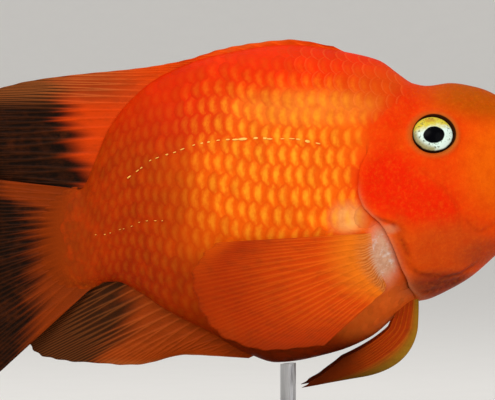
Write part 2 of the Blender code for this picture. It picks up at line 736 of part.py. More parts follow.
def build_collar():
    """Bevelled ring round the foot of the rod, turned from its section."""
    inner, outer, bevel = ROD_RADIUS + GAP, COLLAR_RADIUS, 1.0
    low, high = BASE_HEIGHT + GAP, BASE_HEIGHT + GAP + COLLAR_HEIGHT
    profile = ((inner, low), (outer, low), (outer, high - bevel), (outer - bevel, high), (inner, high))
    spokes = rod_spokes()
    points = [np.column_stack([spokes * radius, np.full(ROD_SIDES, height)]) for radius, height in profile]
    faces = []
    for row in range(len(profile)):
        under, over = row * ROD_SIDES, (row + 1) % len(profile) * ROD_SIDES
        for step in range(ROD_SIDES):
            after = (step + 1) % ROD_SIDES
            faces.append((under + step, under + after, over + after, over + step))
    make_node("stand_collar", np.array(points), faces, "stand_steel")


def main():
    """Build every part of the fish and its stand."""
    clear_scene()
    head = build_head()
    sockets = build_eyes(head)
    build_openings(head, sockets)
    build_lips()
    build_gill_covers()
    build_trunk()
    build_stalk()
    build_dorsal_fin()
    build_anal_fin()
    build_tail_fan()
    build_pectoral_fins()
    build_pelvic_fins()
    build_base()
    build_rod()
    build_collar()


main()
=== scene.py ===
"""Blood parrot cichlid on its display stand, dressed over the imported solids.

Outlines are in millimetres in the side view, with the lowest point of the belly at zero and the nose
towards +X, until bend() swings the tail to its side and sets the fish over its stand.
"""

import math

import bpy
import numpy as np
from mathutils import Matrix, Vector


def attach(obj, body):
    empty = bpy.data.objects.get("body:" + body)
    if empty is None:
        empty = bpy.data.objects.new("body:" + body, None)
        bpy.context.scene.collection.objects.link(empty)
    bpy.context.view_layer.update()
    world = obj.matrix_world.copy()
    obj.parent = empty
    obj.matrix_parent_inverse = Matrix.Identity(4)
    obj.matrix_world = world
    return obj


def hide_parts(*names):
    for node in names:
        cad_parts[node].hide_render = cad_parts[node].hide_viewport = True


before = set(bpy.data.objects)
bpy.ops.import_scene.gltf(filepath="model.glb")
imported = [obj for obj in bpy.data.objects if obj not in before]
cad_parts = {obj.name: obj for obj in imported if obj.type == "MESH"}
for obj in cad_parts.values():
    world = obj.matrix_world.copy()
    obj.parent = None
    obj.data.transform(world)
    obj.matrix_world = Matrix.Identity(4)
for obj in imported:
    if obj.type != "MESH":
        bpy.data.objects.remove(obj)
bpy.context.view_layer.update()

bl_info = {
    "name": "Blood parrot cichlid",
    "version": (1, 0, 0),
    "blender": (4, 5, 0),
    "location": "View3D > Sidebar > Cichlid",
    "description": "Builds the skin, scales, eyes, fins, stand and stage of a life-size cichlid",
    "category": "Add Mesh",
}

MM = 0.001
TINY = 1e-6
SIDES = ((-1, "right"), (1, "left"))

# The fish over its stand: where the belly's lowest point goes, and the bend of the tail behind BEND_START.
BELLY_X = -2.0
BELLY_Z = 26.0
TAIL_BEND = 0.00075
BEND_START = 5.0

# Outlines of the flesh, from the nose to the root of the tail fan.
NOSE_X = 82.8
BACK_LINE = (
    (82.8, 58.8), (82.4, 63.0), (81.0, 69.5), (78.2, 77.5), (74.8, 84.2), (70.3, 88.6),
    (63.5, 91.2), (55.5, 92.4), (47.8, 91.5), (43.0, 92.6), (38.9, 95.4), (32.3, 100.0),
    (24.1, 102.3), (2.6, 105.3), (-20.5, 102.1), (-40.3, 95.0), (-50.5, 86.8),
    (-57.8, 77.0), (-62.4, 66.2), (-66.0, 58.7), (-73.0, 56.8),
)
BELLY_LINE = (
    (82.8, 58.8), (82.3, 53.5), (79.6, 46.0), (75.5, 40.2), (70.3, 35.4), (60.4, 27.2),
    (48.8, 21.5), (42.8, 19.7), (38.9, 16.6), (29.0, 8.3), (15.8, 3.0), (-2.0, 0.0),
    (-10.6, 2.6), (-23.8, 9.9), (-38.6, 17.4), (-48.0, 23.6), (-55.0, 26.6), (-66.7, 25.7),
    (-73.0, 25.6),
)
HALF_WIDTH = (
    (82.8, 0.0), (82.3, 3.6), (80.6, 6.4), (77.0, 9.6), (72.0, 13.0), (63.7, 17.2),
    (50.0, 21.6), (37.0, 24.4), (22.0, 26.0), (5.0, 26.0), (-12.0, 24.2), (-30.0, 19.6),
    (-45.0, 14.0), (-56.0, 9.4), (-66.0, 5.0), (-73.0, 2.6),
)
WIDEST_SHARE = ((82.8, 0.5), (70.0, 0.5), (50.0, 0.44), (25.0, 0.44), (-15.0, 0.47), (-73.0, 0.5))
UPPER_POWER = 1.8
LOWER_POWER = 2.1
# Edges of the flesh, as (share of the height, x).
GILL_OPENING = ((-1.0, 43.8), (-0.9, 41.8), (-0.745, 41.0), (-0.543, 38.5), (-0.28, 35.2),
                (-0.09, 31.75), (0.0, 28.5), (0.064, 25.9), (0.168, 24.5), (0.28, 25.0), (0.4, 26.3),
                (0.535, 29.8), (0.652, 35.2), (0.8, 40.5), (1.0, 45.2))
FAN_EDGE = ((-1.0, -59.0), (-0.75, -67.6), (-0.3, -71.6), (0.3, -72.0), (0.75, -69.6), (1.0, -66.0))

# Head
EYE_AT = (48.9, 75.2)
EYE_SINK = 1.5
NOSTRIL_AT = (71.5, 75.5)
NOSTRIL_DEPTH = 1.3
MOUTH_HEIGHT = 56.8
MOUTH_HALF = 6.6
MOUTH_DROP = 2.6
MOUTH_GAPE = 0.45
MUZZLE_X = 75.5
CHEEK = (43.0, 50.0, 15.0, 1.3)
GILL_PLATE = ((28.6, 49.4), (31.0, 47.7), (34.2, 46.7), (37.5, 44.7), (38.8, 40.8), (40.0, 36.9),
              (41.0, 33.0), (43.0, 30.8), (46.5, 29.5), (52.7, 29.0), (57.6, 29.8), (61.5, 32.0),
              (65.4, 34.6))
CHEEK_RIDGE = ((42.0, 66.8), (47.2, 61.6), (53.0, 57.0), (55.9, 52.8), (57.9, 46.7), (57.6, 40.8))
MOUTH_CREASE = ((75.6, 53.6), (73.0, 49.8), (69.0, 45.6), (64.4, 43.5), (61.6, 45.0), (60.3, 46.9),
                (60.2, 49.4))
THROAT_FOLDS = (
    ((42.6, 23.3), (47.8, 23.9), (52.7, 25.2), (56.9, 26.9), (61.5, 29.8)),
    ((45.9, 27.3), (51.1, 26.6), (55.9, 27.2), (60.8, 29.3)),
)
# Creases and their banks: line, its shift along and up, half-width, taper of its ends, height.
HEAD_CREASES = (
    (CHEEK_RIDGE, 0.0, 0.0, 1.3, 0.2, -0.2), (CHEEK_RIDGE, -1.8, 0.9, 1.6, 0.2, 0.22),
    (MOUTH_CREASE, 0.0, 0.0, 0.8, 0.3, -0.35),
    (THROAT_FOLDS[0], 0.0, 0.0, 0.7, 0.2, -0.5), (THROAT_FOLDS[0], 0.0, -1.3, 0.9, 0.2, 0.3),
    (THROAT_FOLDS[1], 0.0, 0.0, 0.7, 0.2, -0.5), (THROAT_FOLDS[1], 0.0, -1.3, 0.9, 0.2, 0.3),
)
# Hills and hollows: place, reach along, reach up, height.
HEAD_HILLS = (((50.0, 87.0), 9.0, 3.2, 0.45), ((61.0, 76.0), 7.0, 5.0, -0.5))
# The eye socket: its half-axes, and as shares of them where its raised rim and its wall lie.
ORBIT = (7.1, 6.35)
ORBIT_RIM, ORBIT_RIM_WIDTH, ORBIT_RIM_HEIGHT = 1.17, 0.14, 0.75
ORBIT_WALL, ORBIT_WALL_WIDTH, ORBIT_DEPTH = 0.78, 0.26, 1.9
# Section through the edge of the gill opening, as (distance behind it, height over the flank).
GILL_FOLD = (
    (-12.0, 0.0), (-9.0, 0.12), (-6.5, 0.35), (-4.5, 0.62), (-3.0, 0.85), (-1.8, 1.0), (-0.9, 1.05),
    (-0.3, 0.98), (0.1, 0.82), (0.3, 0.6), (0.25, 0.4), (-0.1, 0.28), (-0.9, 0.22), (-1.8, 0.12),
    (-2.3, -0.15), (-2.1, -0.46), (-1.4, -0.52), (-0.5, -0.48), (0.6, -0.42), (2.2, -0.35), (5.0, -0.28),
)
COAT_DEPTH = 0.28

# Fins
SCALLOP = 0.012
DORSAL_RAYS = 28
DORSAL_NOTCH = 0.06
DORSAL_BASE_X = (22.4, -8.9, -27.1, -38.0, -48.8, -58.0, -67.4)
DORSAL_TIPS = ((17.0, 104.5), (3.0, 106.8), (-10.0, 105.6), (-21.0, 103.5), (-31.0, 100.3), (-41.0, 98.3),
               (-52.0, 96.9), (-66.0, 95.6), (-82.0, 93.6), (-95.0, 90.6), (-106.0, 86.0),
               (-111.5, 79.0), (-112.0, 71.0), (-104.0, 63.6), (-90.0, 59.4))
ANAL_RAYS = 17
ANAL_BASE_X = (-9.0, -18.0, -28.0, -38.0, -48.0, -56.5)
ANAL_TIPS = ((-11.0, 1.6), (-31.0, 2.6), (-49.5, -0.9), (-72.6, 0.5), (-83.6, 5.6), (-65.0, 24.6))
FAN_RAYS = 20
FAN_TIPS = ((-111.9, 62.6), (-117.6, 50.0), (-119.5, 37.0), (-116.6, 22.0), (-109.0, 7.6), (-96.4, -5.9))
FAN_SPAN = 0.94
FIN_SINK = 0.8
FAN_SINK = 1.2
PECTORAL_RAYS = 13
PECTORAL_BASE = ((29.6, 43.1), (30.4, 37.6), (31.9, 31.8), (34.2, 25.9))
PECTORAL_TIPS = ((-19.8, 40.3), (-28.0, 31.0), (-21.8, 13.9), (-4.8, 6.0), (13.0, 7.4))
PECTORAL_SINK = 1.35
PECTORAL_LIFT = 1.95
PECTORAL_FLARE = 4.2
PECTORAL_FLATTEN = 0.5
PECTORAL_LEVEL = 44.0
PELVIC_RAYS = 6
PELVIC_ROOTS = ((44.6, 20.0), (37.6, 14.6))
PELVIC_ELBOWS = ((47.2, -2.3), (32.5, 8.0))
PELVIC_TIPS = ((22.5, -4.6), (5.3, -7.9), (10.5, -4.6), (20.0, 2.2))
PELVIC_SPREAD = (5.0, 10.5)
PELVIC_FAN = 1.5

# The lateral line in two runs: points, distance between two pores, size of the pores.
LATERAL_RUNS = (
    (((11.4, 72.2), (5.6, 73.5), (0.7, 73.8), (-4.1, 73.8), (-15.4, 73.5), (-22.5, 72.9), (-30.0, 71.2),
      (-36.4, 69.0), (-42.9, 66.7), (-46.1, 64.5), (-49.4, 61.9), (-51.9, 60.6)), 2.9, 1.0),
    (((-38.2, 47.0), (-44.7, 47.0), (-49.6, 45.3), (-56.1, 43.1), (-61.9, 42.1)), 2.6, 0.6),
)

# Markings laid over each other in order, among them painted shade on the belly and rear and a painted
# highlight under the back: colour, x, height, reach along, reach up, strength.
PATCHES = (
    # Belly: its own deeper colour, darkened further by painted shade of the light falling off towards the
    # bottom.
    ("belly", 0.0, 0.0, 90.0, 14.0, 0.9),
    ("back", -5.0, 104.0, 62.0, 16.0, 1.0),
    ("shoulder", 30.0, 88.0, 13.0, 9.0, 0.8),
    # Painted soft highlight along the upper flank, under the back.
    ("highlight_band", 8.0, 84.0, 24.0, 5.5, 0.8),
    ("deep_back", -42.0, 84.0, 25.0, 16.0, 0.9),
    # Rear: darker red-brown, painted shade of the light falling off towards the tail and the lower rear.
    ("rear", -48.0, 50.0, 23.0, 34.0, 0.6),
    ("rear", -58.0, 46.0, 22.0, 30.0, 0.8),
    ("rear", -38.0, 20.0, 26.0, 15.0, 0.8),
    ("tail_root", -86.0, 42.0, 22.0, 44.0, 1.0),
    ("head", 58.0, 60.0, 24.0, 34.0, 1.0),
    ("snout", 74.0, 66.0, 15.0, 17.0, 0.9),
    ("forehead", 68.0, 89.0, 17.0, 9.0, 0.95),
    ("gill_cover", 44.0, 88.5, 5.5, 5.5, 0.55),
    ("gill_cover", 38.5, 82.5, 6.0, 6.5, 0.6),
    ("gill_cover", 32.5, 76.0, 6.0, 7.0, 0.6),
    ("gill_cover", 33.5, 59.5, 11.0, 12.0, 1.0),
    ("gill_cover", 44.0, 53.0, 11.0, 7.5, 0.9),
    ("gill_cover", 52.5, 49.0, 4.5, 6.5, 0.7),
    ("cheek", 55.0, 37.5, 16.0, 9.5, 0.85),
    ("cheek", 37.5, 37.5, 2.6, 11.0, 0.75),
    ("throat", 54.0, 25.0, 18.0, 5.2, 0.95),
    ("throat", 72.0, 36.0, 14.0, 5.0, 0.5),
    ("breast", 30.0, 17.0, 17.0, 9.5, 0.8),
    ("pale_shoulder", 21.0, 48.0, 5.5, 4.6, 0.75),
    ("silver", 32.6, 36.6, 5.2, 9.6, 0.95),
    ("gill_rim", 34.6, 44.4, 2.4, 1.5, 0.7),
    ("forehead", 54.0, 90.0, 11.0, 6.0, 0.4),
)
PATCH_CORE = 0.5
PATCH_FADE = 0.95
# Painted shade along the creases of the head, as thin dark lines: line, half-width, taper of its ends,
# strength.
CREASE_SHADE_LINES = (
    (GILL_PLATE, 0.6, 0.08, 0.7), (CHEEK_RIDGE, 0.8, 0.2, 0.12), (MOUTH_CREASE, 0.6, 0.2, 0.2),
    (THROAT_FOLDS[0], 0.6, 0.2, 0.6), (THROAT_FOLDS[1], 0.6, 0.2, 0.6),
)
# Share of each channel kept in the painted crease shade.
LINE_SHADE = (0.35, 0.2, 0.2)
# Where the scales' middles are yellow: x, height, reach along, reach up, strength.
GLOWS = ((-1.0, 64.0, 28.0, 27.0, 0.9), (-16.0, 50.0, 46.0, 36.0, 0.12))


def hue(code):
    """Linear colour of a web colour code."""
    channels = np.array([int(code[place:place + 2], 16) for place in (1, 3, 5)]) / 255
    return np.where(channels <= 0.04045, channels / 12.92, ((channels + 0.055) / 1.055) ** 2.4)


def colour(name, description, code):
    """Colour property with a web colour as its default."""
    return bpy.props.FloatVectorProperty(
        name=name, description=description, subtype="COLOR", size=3, min=0.0, max=1.0,
        default=tuple(hue(code)))


def length(name, description, millimetres):
    """Length property with its default given in millimetres."""
    return bpy.props.FloatProperty(
        name=name, description=description, unit="LENGTH", precision=5, default=millimetres * MM)


def number(name, description, default):
    """Plain number property."""
    return bpy.props.FloatProperty(name=name, description=description, default=default)


class FishColours(bpy.types.PropertyGroup):
    """Colours of the skin, scales and eyes."""
    back: colour("Back", "Skin of the back", "#EA2E02")
    deep_back: colour("Deep back", "Skin of the back over the tail", "#D62202")
    flank: colour("Flank", "Gaps between the scales of the flank", "#F05E06")
    # The belly colour is the belly's own deeper red with painted shade of the light falling off towards the
    # bottom.
    belly: colour("Belly", "Skin of the belly", "#6A1C04")
    # The rear colour is painted shade: the flank darkened where the light falls off towards the tail.
    rear: colour("Rear", "Rear of the flank and the tail stalk", "#982202")
    tail_root: colour("Tail root", "Root of the tail fan", "#8A3206")
    # Painted soft highlight: the paler band along the upper flank.
    highlight_band: colour("Pale band", "Paler band under the back", "#F07C22")
    shoulder: colour("Shoulder", "Scales behind the nape", "#D64408")
    breast: colour("Breast", "Fine scales in front of the belly", "#DE6420")
    head: colour("Head", "Skin of the head", "#E83E02")
    snout: colour("Snout", "Skin between the eye and the lips", "#EC6202")
    forehead: colour("Forehead", "Skin over the eyes", "#B24E00")
    gill_cover: colour("Gill cover", "Skin of the gill cover", "#E81E00")
    cheek: colour("Cheek", "Lower cheek and jaw", "#C6460E")
    throat: colour("Throat", "Folds of the throat", "#7A321C")
    gill_rim: colour("Gill rim", "Free edge of the gill membrane", "#CC8058")
    pale_shoulder: colour("Pale shoulder", "Patch behind the gill opening", "#F2B060")
    silver: colour("Silver", "Bare skin at the root of the pectoral fin", "#CEA284")
    scale_centre: colour("Scale centre", "Middle of each scale's free part", "#FFA01E")
    lateral_line: colour("Lateral line", "Pores along the flank", "#FFD25A")
    iris: colour("Iris", "Lower part of the iris", "#E0F6EA")
    iris_gold: colour("Iris gold", "Upper part of the iris", "#D8C63C")
    eye_ring: colour("Eye ring", "Dark ring round the iris", "#1C0A04")
    lips: colour("Lips", "Skin of the lips", "#E66A30")


class FinColours(bpy.types.PropertyGroup):
    """Colours of the fins."""
    root: colour("Root", "Fleshy root of the dorsal fin", "#DE4206")
    crest: colour("Crest", "Folded front of the dorsal fin", "#F0520A")
    low_root: colour("Low root", "Fleshy root of the anal fin", "#AE4008")
    ray: colour("Ray", "Outer rays of the dorsal, anal and tail fins", "#321606")
    membrane: colour("Membrane", "Outer membrane between those rays", "#140904")
    margin: colour("Margin", "Upper rays and thin edge of the dorsal fin", "#B4622C")
    side_root: colour("Side root", "Band of the pectoral fins next to their root", "#EC7A14")
    side_ray: colour("Side ray", "Rays of the pectoral and pelvic fins", "#E8620E")
    side_membrane: colour("Side membrane", "Membrane of the pectoral and pelvic fins", "#CE4204")
    front_edge: colour("Front edge", "Front edge of the pelvic fins", "#A07C1C")


class FishSizes(bpy.types.PropertyGroup):
    """Sizes of the scales, eyes and fins."""
    scale_length: length("Scale length", "Root to free edge of a flank scale", 8.4)
    scale_height: length("Scale height", "Top to bottom of a flank scale", 8.9)
    scale_pitch: length("Scale pitch", "Distance between two scales of a row", 3.8)
    row_pitch: length("Row pitch", "Distance between two rows of scales", 6.7)
    scale_thickness: length("Scale thickness", "Thickness of a scale", 0.045)
    scale_rise: length("Scale rise", "Height of a scale's free edge over its root", 0.2)
    eye_length: length("Eye length", "Eyeball from front to rear, under the skin", 14.0)
    eye_height: length("Eye height", "Eyeball from top to bottom, under the skin", 13.2)
    eye_depth: length("Eye depth", "Half the eyeball's depth into the head", 4.4)
    membrane: length("Membrane", "Thickness of the fin between its rays", 0.5)
    ray_root: length("Ray at its root", "Thickness of a ray where it leaves the body", 1.1)
    ray_tip: length("Ray at its tip", "Thickness of a ray at the fin's edge", 0.55)
    fin_root: length("Fin root", "Thickness of a fin's fleshy root", 2.6)


class StageSettings(bpy.types.PropertyGroup):
    """Camera, floor and lights."""
    distance: length("Camera distance", "From the camera to the fish's middle plane", 1200.0)
    aim_x: length("Aim along", "Point of the fish in the middle of the picture, from the stand", -13.4)
    aim_z: length("Aim height", "Height of the camera over the floor", 79.8)
    view_width: length("View width", "Width of the picture in the fish's middle plane", 163.35)
    floor: colour("Floor", "Floor and backdrop", "#E8E6E2")
    key: number("Key light", "Power of the main light in watts", 10.5)
    fill: number("Fill light", "Power of the light from the other side in watts", 3.2)
    top: number("Top light", "Power of the light from above in watts", 2.4)
    sky: number("Sky", "Strength of the even light of the room", 0.5)


# ---- Curves and surfaces


def smooth_curve(knots, values, at):
    """Monotone cubic through the knots: no wiggle between two points and no overshoot at a peak."""
    knots = np.asarray(knots, float)
    values = np.asarray(values, float)
    step = np.diff(knots)
    slope = np.diff(values) / step
    tangent = np.empty_like(values)
    tangent[0] = slope[0]
    tangent[-1] = slope[-1]
    before, after = slope[:-1], slope[1:]
    first = 2 * step[1:] + step[:-1]
    second = step[1:] + 2 * step[:-1]
    same = before * after > 0
    mean = (first + second) / (first / np.where(same, before, 1.0) + second / np.where(same, after, 1.0))
    tangent[1:-1] = np.where(same, mean, 0.0)
    at = np.clip(at, knots[0], knots[-1])
    cell = np.clip(np.searchsorted(knots, at, side="right") - 1, 0, len(step) - 1)
    share = (at - knots[cell]) / step[cell]
    rise = share * share * (3 - 2 * share)
    lead = share * (1 - share) ** 2 * step[cell]
    trail = share * share * (share - 1) * step[cell]
    start, end = values[cell], values[cell + 1]
    return start + (end - start) * rise + tangent[cell] * lead + tangent[cell + 1] * trail


def along(x):
    """Root of the distance behind the nose, so that the blunt nose is drawn without a kink."""
    return np.sqrt(np.clip(NOSE_X - np.asarray(x, float), 0.0, None))


def follow(table, x):
    """Value of an outline table at x."""
    places, values = np.array(table).T
    return smooth_curve(along(places), values, along(x))


def edge_x(table, share):
    """Where an edge of the flesh runs, at each share of the height."""
    shares, places = np.array(table).T
    return smooth_curve(shares, places, share)


def through(points, shares):
    """Points on a smooth curve through a list of points, evenly shared out by their number."""
    points = np.array(points, float)
    knots = np.linspace(0.0, 1.0, len(points))
    return np.stack([smooth_curve(knots, column, shares) for column in points.T], axis=-1)


def ease(value):
    """Smooth step from 0 to 1."""
    value = np.clip(value, 0.0, 1.0)
    return value * value * (3 - 2 * value)


def ramp(value, start, reach):
    """Smooth step from 0 at the start to 1 a reach further on, or further back where it is negative."""
    return ease((value - start) / reach)


def hump(value, width):
    """Bell curve: 1 at zero, falling off within about a width on both sides."""
    return np.exp(-((value / width) ** 2))


def bell(x, z, centre, reach_x, reach_z):
    """Bell-shaped hill over a point of the side view."""
    return np.exp(-(((x - centre[0]) / reach_x) ** 2) - ((z - centre[1]) / reach_z) ** 2)


def blend(tint, other, share):
    """Colours mixed with other ones by a share at each point."""
    return tint + (np.asarray(other) - tint) * np.asarray(share)[..., None]


def unit(vectors):
    """Vectors at length one."""
    return vectors / np.maximum(np.linalg.norm(vectors, axis=-1, keepdims=True), 1e-12)


def section(x):
    """Top, widest height, bottom and half-width of the flesh at x."""
    top = follow(BACK_LINE, x)
    bottom = follow(BELLY_LINE, x)
    middle = bottom + (top - bottom) * follow(WIDEST_SHARE, x)
    return top, middle, bottom, follow(HALF_WIDTH, x)


def share_at(z, shape):
    """Share of a section's height at z: -1 at the belly, 0 where it is widest, 1 at the back."""
    top, middle, bottom, _ = shape
    return (z - middle) / np.maximum(np.where(z > middle, top - middle, middle - bottom), TINY)


def height_at(share, shape):
    """Height in a section at a share of it."""
    top, middle, bottom, _ = shape
    return middle + share * np.where(share > 0, top - middle, middle - bottom)


def oval_power(share):
    """Power of the section's oval, above and below its widest height."""
    return np.where(share > 0, UPPER_POWER, LOWER_POWER)


def flank(x, z):
    """Half-width of the flesh in the side view: an oval of section, with a gentle swell at the cheek."""
    shape = section(x)
    share = share_at(z, shape)
    power = oval_power(share)
    share = np.clip(np.abs(share), 0.0, 1.0)
    cheek_x, cheek_z, spread, height = CHEEK
    swell = height * np.exp(-((x - cheek_x) ** 2 + (z - cheek_z) ** 2) / spread**2)
    return shape[3] * (1 - share**power) ** (1 / power) + swell * (1 - share**6)


def underside(x, y):
    """Height of the belly at a point of the view from below."""
    _, middle, bottom, width = section(x)
    share = np.clip(np.abs(y) / width, 0.0, 1.0)
    return middle - (middle - bottom) * (1 - share**LOWER_POWER) ** (1 / LOWER_POWER)


def height_share(turn):
    """Share of the height, from -1 at the belly to 1 at the back, at an angle round the section."""
    sine = np.sin(turn)
    return np.sign(sine) * np.abs(sine) ** (2 / oval_power(sine))


def turn_at(x, z):
    """Angle round the section of a point of the left flank."""
    share = np.clip(share_at(z, section(x)), -1.0, 1.0)
    return np.arcsin(np.abs(share) ** (oval_power(share) / 2)) * np.sign(share)


def skin_points(x, turn):
    """Flesh surface at x and at an angle round the section, 0 at the left and a quarter at the back."""
    z = height_at(height_share(turn), section(x))
    y = np.sign(np.cos(turn)) * flank(x, z) * (np.abs(np.cos(turn)) > 1e-9)
    return np.stack([x + 0 * y, y, z], axis=-1)


def skin_frame(x, turn):
    """Flesh surface with its outward direction and the one towards the nose, from small steps on it."""
    step_x, step_turn = 0.15, 0.012
    x, turn = np.broadcast_arrays(x, turn)
    ahead = unit(skin_points(np.minimum(x + step_x, NOSE_X - 0.01), turn) - skin_points(x - step_x, turn))
    around = unit(skin_points(x, turn + step_turn) - skin_points(x, turn - step_turn))
    outward = unit(np.cross(ahead, around))
    centre_side = np.stack([0 * x, np.cos(turn), np.sin(turn)], axis=-1)
    outward = outward * np.sign((outward * centre_side).sum(axis=-1, keepdims=True))
    return skin_points(x, turn), outward, ahead


def grid_normals(points):
    """Unit normals of a grid of points, from its own differences."""
    return unit(np.cross(np.gradient(points, axis=0), np.gradient(points, axis=1)))


def full_turn(count):
    """Angles at even steps round a full turn."""
    return np.linspace(0.0, 2 * math.pi, count, endpoint=False)


def on_side(points, side):
    """Points of the left side as they are, or mirrored to the right one."""
    return points * np.array([1.0, side, 1.0])


def on_rays(base, tips, reach):
    """Points on straight rays from base to tip, at shares of their length."""
    return base[:, None, :] + (tips - base)[:, None, :] * reach[..., None]


def bend(points):
    """Swing the rear of the fish gently to its left and set the fish over its stand."""
    behind = np.clip(BEND_START - points[..., 0], 0.0, None)
    placed = points + np.array([BELLY_X, 0.0, BELLY_Z])
    placed[..., 1] += TAIL_BEND * behind**2
    return placed


def nearest_on(line, x, z):
    """Distance to a broken line in the side view, side of it (+1 on its left), and share of its length."""
    line = through(line, np.linspace(0.0, 1.0, 4 * len(line)))
    best = np.full(np.shape(x), 1e9)
    side = np.ones(np.shape(x))
    place = np.zeros(np.shape(x))
    count = len(line) - 1
    for index in range(count):
        start, step = line[index], line[index + 1] - line[index]
        run = np.clip(((x - start[0]) * step[0] + (z - start[1]) * step[1]) / (step @ step), 0.0, 1.0)
        gap_x, gap_z = x - start[0] - run * step[0], z - start[1] - run * step[1]
        distance = np.hypot(gap_x, gap_z)
        closer = distance < best
        best = np.where(closer, distance, best)
        side = np.where(closer, np.sign(step[0] * gap_z - step[1] * gap_x), side)
        place = np.where(closer, (index + run) / count, place)
    return best, side, place


def crease(line, x, z, width, taper):
    """Strength, 0 to 1, of a soft groove along a line: a bell across it, fading out at its ends."""
    distance, _, place = nearest_on(line, x, z)
    return hump(distance, width) * ease(np.minimum(place, 1 - place) / taper)


# ---- Markings


def palette(scene):
    """The scene's fish colours as arrays, by name."""
    group = scene.fish_colours
    return {name: np.array(getattr(group, name)) for name in FishColours.__annotations__}


def markings(x, z, colours):
    """Colour of the skin in the side view: the patches laid over each other, among them painted shade on the
    belly and rear and a painted highlight under the back, then painted shade along the creases as thin dark
    lines.

    The silver patch ends at the gill opening.
    """
    tint = np.zeros((*np.shape(x), 3)) + colours["flank"]
    behind = ease((edge_x(GILL_OPENING, share_at(z, section(x))) - x) / 1.2)
    for name, place_x, place_z, reach_x, reach_z, strength in PATCHES:
        distance = np.hypot((x - place_x) / reach_x, (z - place_z) / reach_z)
        cover = strength * (1 - ramp(distance, PATCH_CORE, PATCH_FADE))
        tint = blend(tint, colours[name], cover * behind if name == "silver" else cover)
    # Painted shade in the grooves of the gill plate, cheek ridge, mouth crease and throat folds.
    lines = [strength * crease(line, x, z, width, taper) for line, width, taper, strength in CREASE_SHADE_LINES]
    return blend(tint, tint * np.array(LINE_SHADE), np.max(lines, axis=0))


def scale_glow(x, z, colours):
    """Colour of a scale's middle: nearly the skin's own on the back and rear, yellow on the flank."""
    glows = [strength * np.exp(-(((x - at_x) / reach_x) ** 4) - ((z - at_z) / reach_z) ** 4)
             for at_x, at_z, reach_x, reach_z, strength in GLOWS]
    return blend(markings(x, z, colours), colours["scale_centre"], np.max(glows, axis=0))


# ---- Meshes


def lay_mesh(name, points, faces, material, tints=None, maps=None, flat=None):
    """Mesh object from points in millimetres, lists of like faces, point colours and point maps.

    It is smooth but for the faces marked flat, whose borders are sharp.
    """
    mesh = bpy.data.meshes.new(name)
    points = np.asarray(points, float).reshape(-1, 3) * MM
    mesh.vertices.add(len(points))
    mesh.vertices.foreach_set("co", points.ravel())
    corners = np.concatenate([group.ravel() for group in faces])
    widths = np.concatenate([np.full(len(group), group.shape[1]) for group in faces])
    mesh.loops.add(len(corners))
    mesh.loops.foreach_set("vertex_index", corners.astype(np.int32))
    mesh.polygons.add(len(widths))
    starts = np.concatenate([[0], np.cumsum(widths)[:-1]])
    mesh.polygons.foreach_set("loop_start", starts.astype(np.int32))
    for label, values in (maps or {}).items():
        layer = mesh.uv_layers.new(name=label)
        layer.uv.foreach_set("vector", np.asarray(values, float).reshape(-1, 2)[corners].ravel())
    for label, values in (tints or {}).items():
        layer = mesh.color_attributes.new(name=label, type="FLOAT_COLOR", domain="POINT")
        values = np.asarray(values, float).reshape(-1, 3)
        layer.data.foreach_set("color", np.column_stack([values, np.ones(len(values))]).ravel())
    mesh.update(calc_edges=True)
    mesh.validate()
    mesh.shade_smooth()
    if flat is not None:
        mesh.polygons.foreach_set("use_smooth", ~flat)
        edges = np.zeros(len(corners), np.int32)
        mesh.loops.foreach_get("edge_index", edges)
        sharp = np.zeros(len(mesh.edges), bool)
        sharp[edges[np.repeat(flat, widths)]] = True
        mesh.edges.foreach_set("use_edge_sharp", sharp)
        mesh.update()
    mesh.materials.append(material)
    made = bpy.data.objects.new(name, mesh)
    bpy.context.scene.collection.objects.link(made)
    return made


def outward_faces(points, faces):
    """The faces, all turned over if their closed surface holds a negative volume."""
    flat = np.asarray(points, float).reshape(-1, 3)
    volume = 0.0
    for group in faces:
        for corner in range(1, group.shape[1] - 1):
            a, b, c = (flat[group[:, place]] for place in (0, corner, corner + 1))
            volume += np.einsum("ij,ij->i", a, np.cross(b, c)).sum()
    return faces if volume > 0 else [group[:, ::-1] for group in faces]


def grid_faces(rows, columns, wrap=False):
    """Four-sided faces of a grid of points, its last column joined to its first where it wraps."""
    row = np.arange(rows - 1)[:, None]
    column = np.arange(columns if wrap else columns - 1)[None, :]
    after = (column + 1) % columns
    a, b = row * columns + column, row * columns + after
    return np.stack([a, b, b + columns, a + columns], axis=-1).reshape(-1, 4)


def tube_faces(rows, columns):
    """Faces of a closed body: a wrapped grid with a fan at each end to the two points after it."""
    step = np.arange(columns)
    after = (step + 1) % columns
    low = (rows - 1) * columns
    first = np.stack([np.full(columns, rows * columns), after, step], axis=-1)
    last = np.stack([np.full(columns, rows * columns + 1), low + step, low + after], axis=-1)
    return [grid_faces(rows, columns, wrap=True), first, last]


def sheet_faces(rows, columns):
    """Faces of a closed sheet: two like grids, the second one after the first, joined round their rims."""
    outer = grid_faces(rows, columns)
    shift = rows * columns
    top = np.arange(columns)
    right = np.arange(1, rows) * columns + columns - 1
    foot = (rows - 1) * columns + np.arange(columns - 2, -1, -1)
    left = np.arange(rows - 2, 0, -1) * columns
    here = np.concatenate([top, right, foot, left])
    there = np.roll(here, -1)
    rim = np.stack([here, here + shift, there + shift, there], axis=-1)
    return [np.concatenate([outer, outer[:, ::-1] + shift, rim])]


def as_piece(made, slot, *nodes):
    """A finished piece rides on the one body and stands for its solids; the slot is not used."""
    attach(made, "root")
    if nodes:
        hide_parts(*nodes)


# ---- Materials


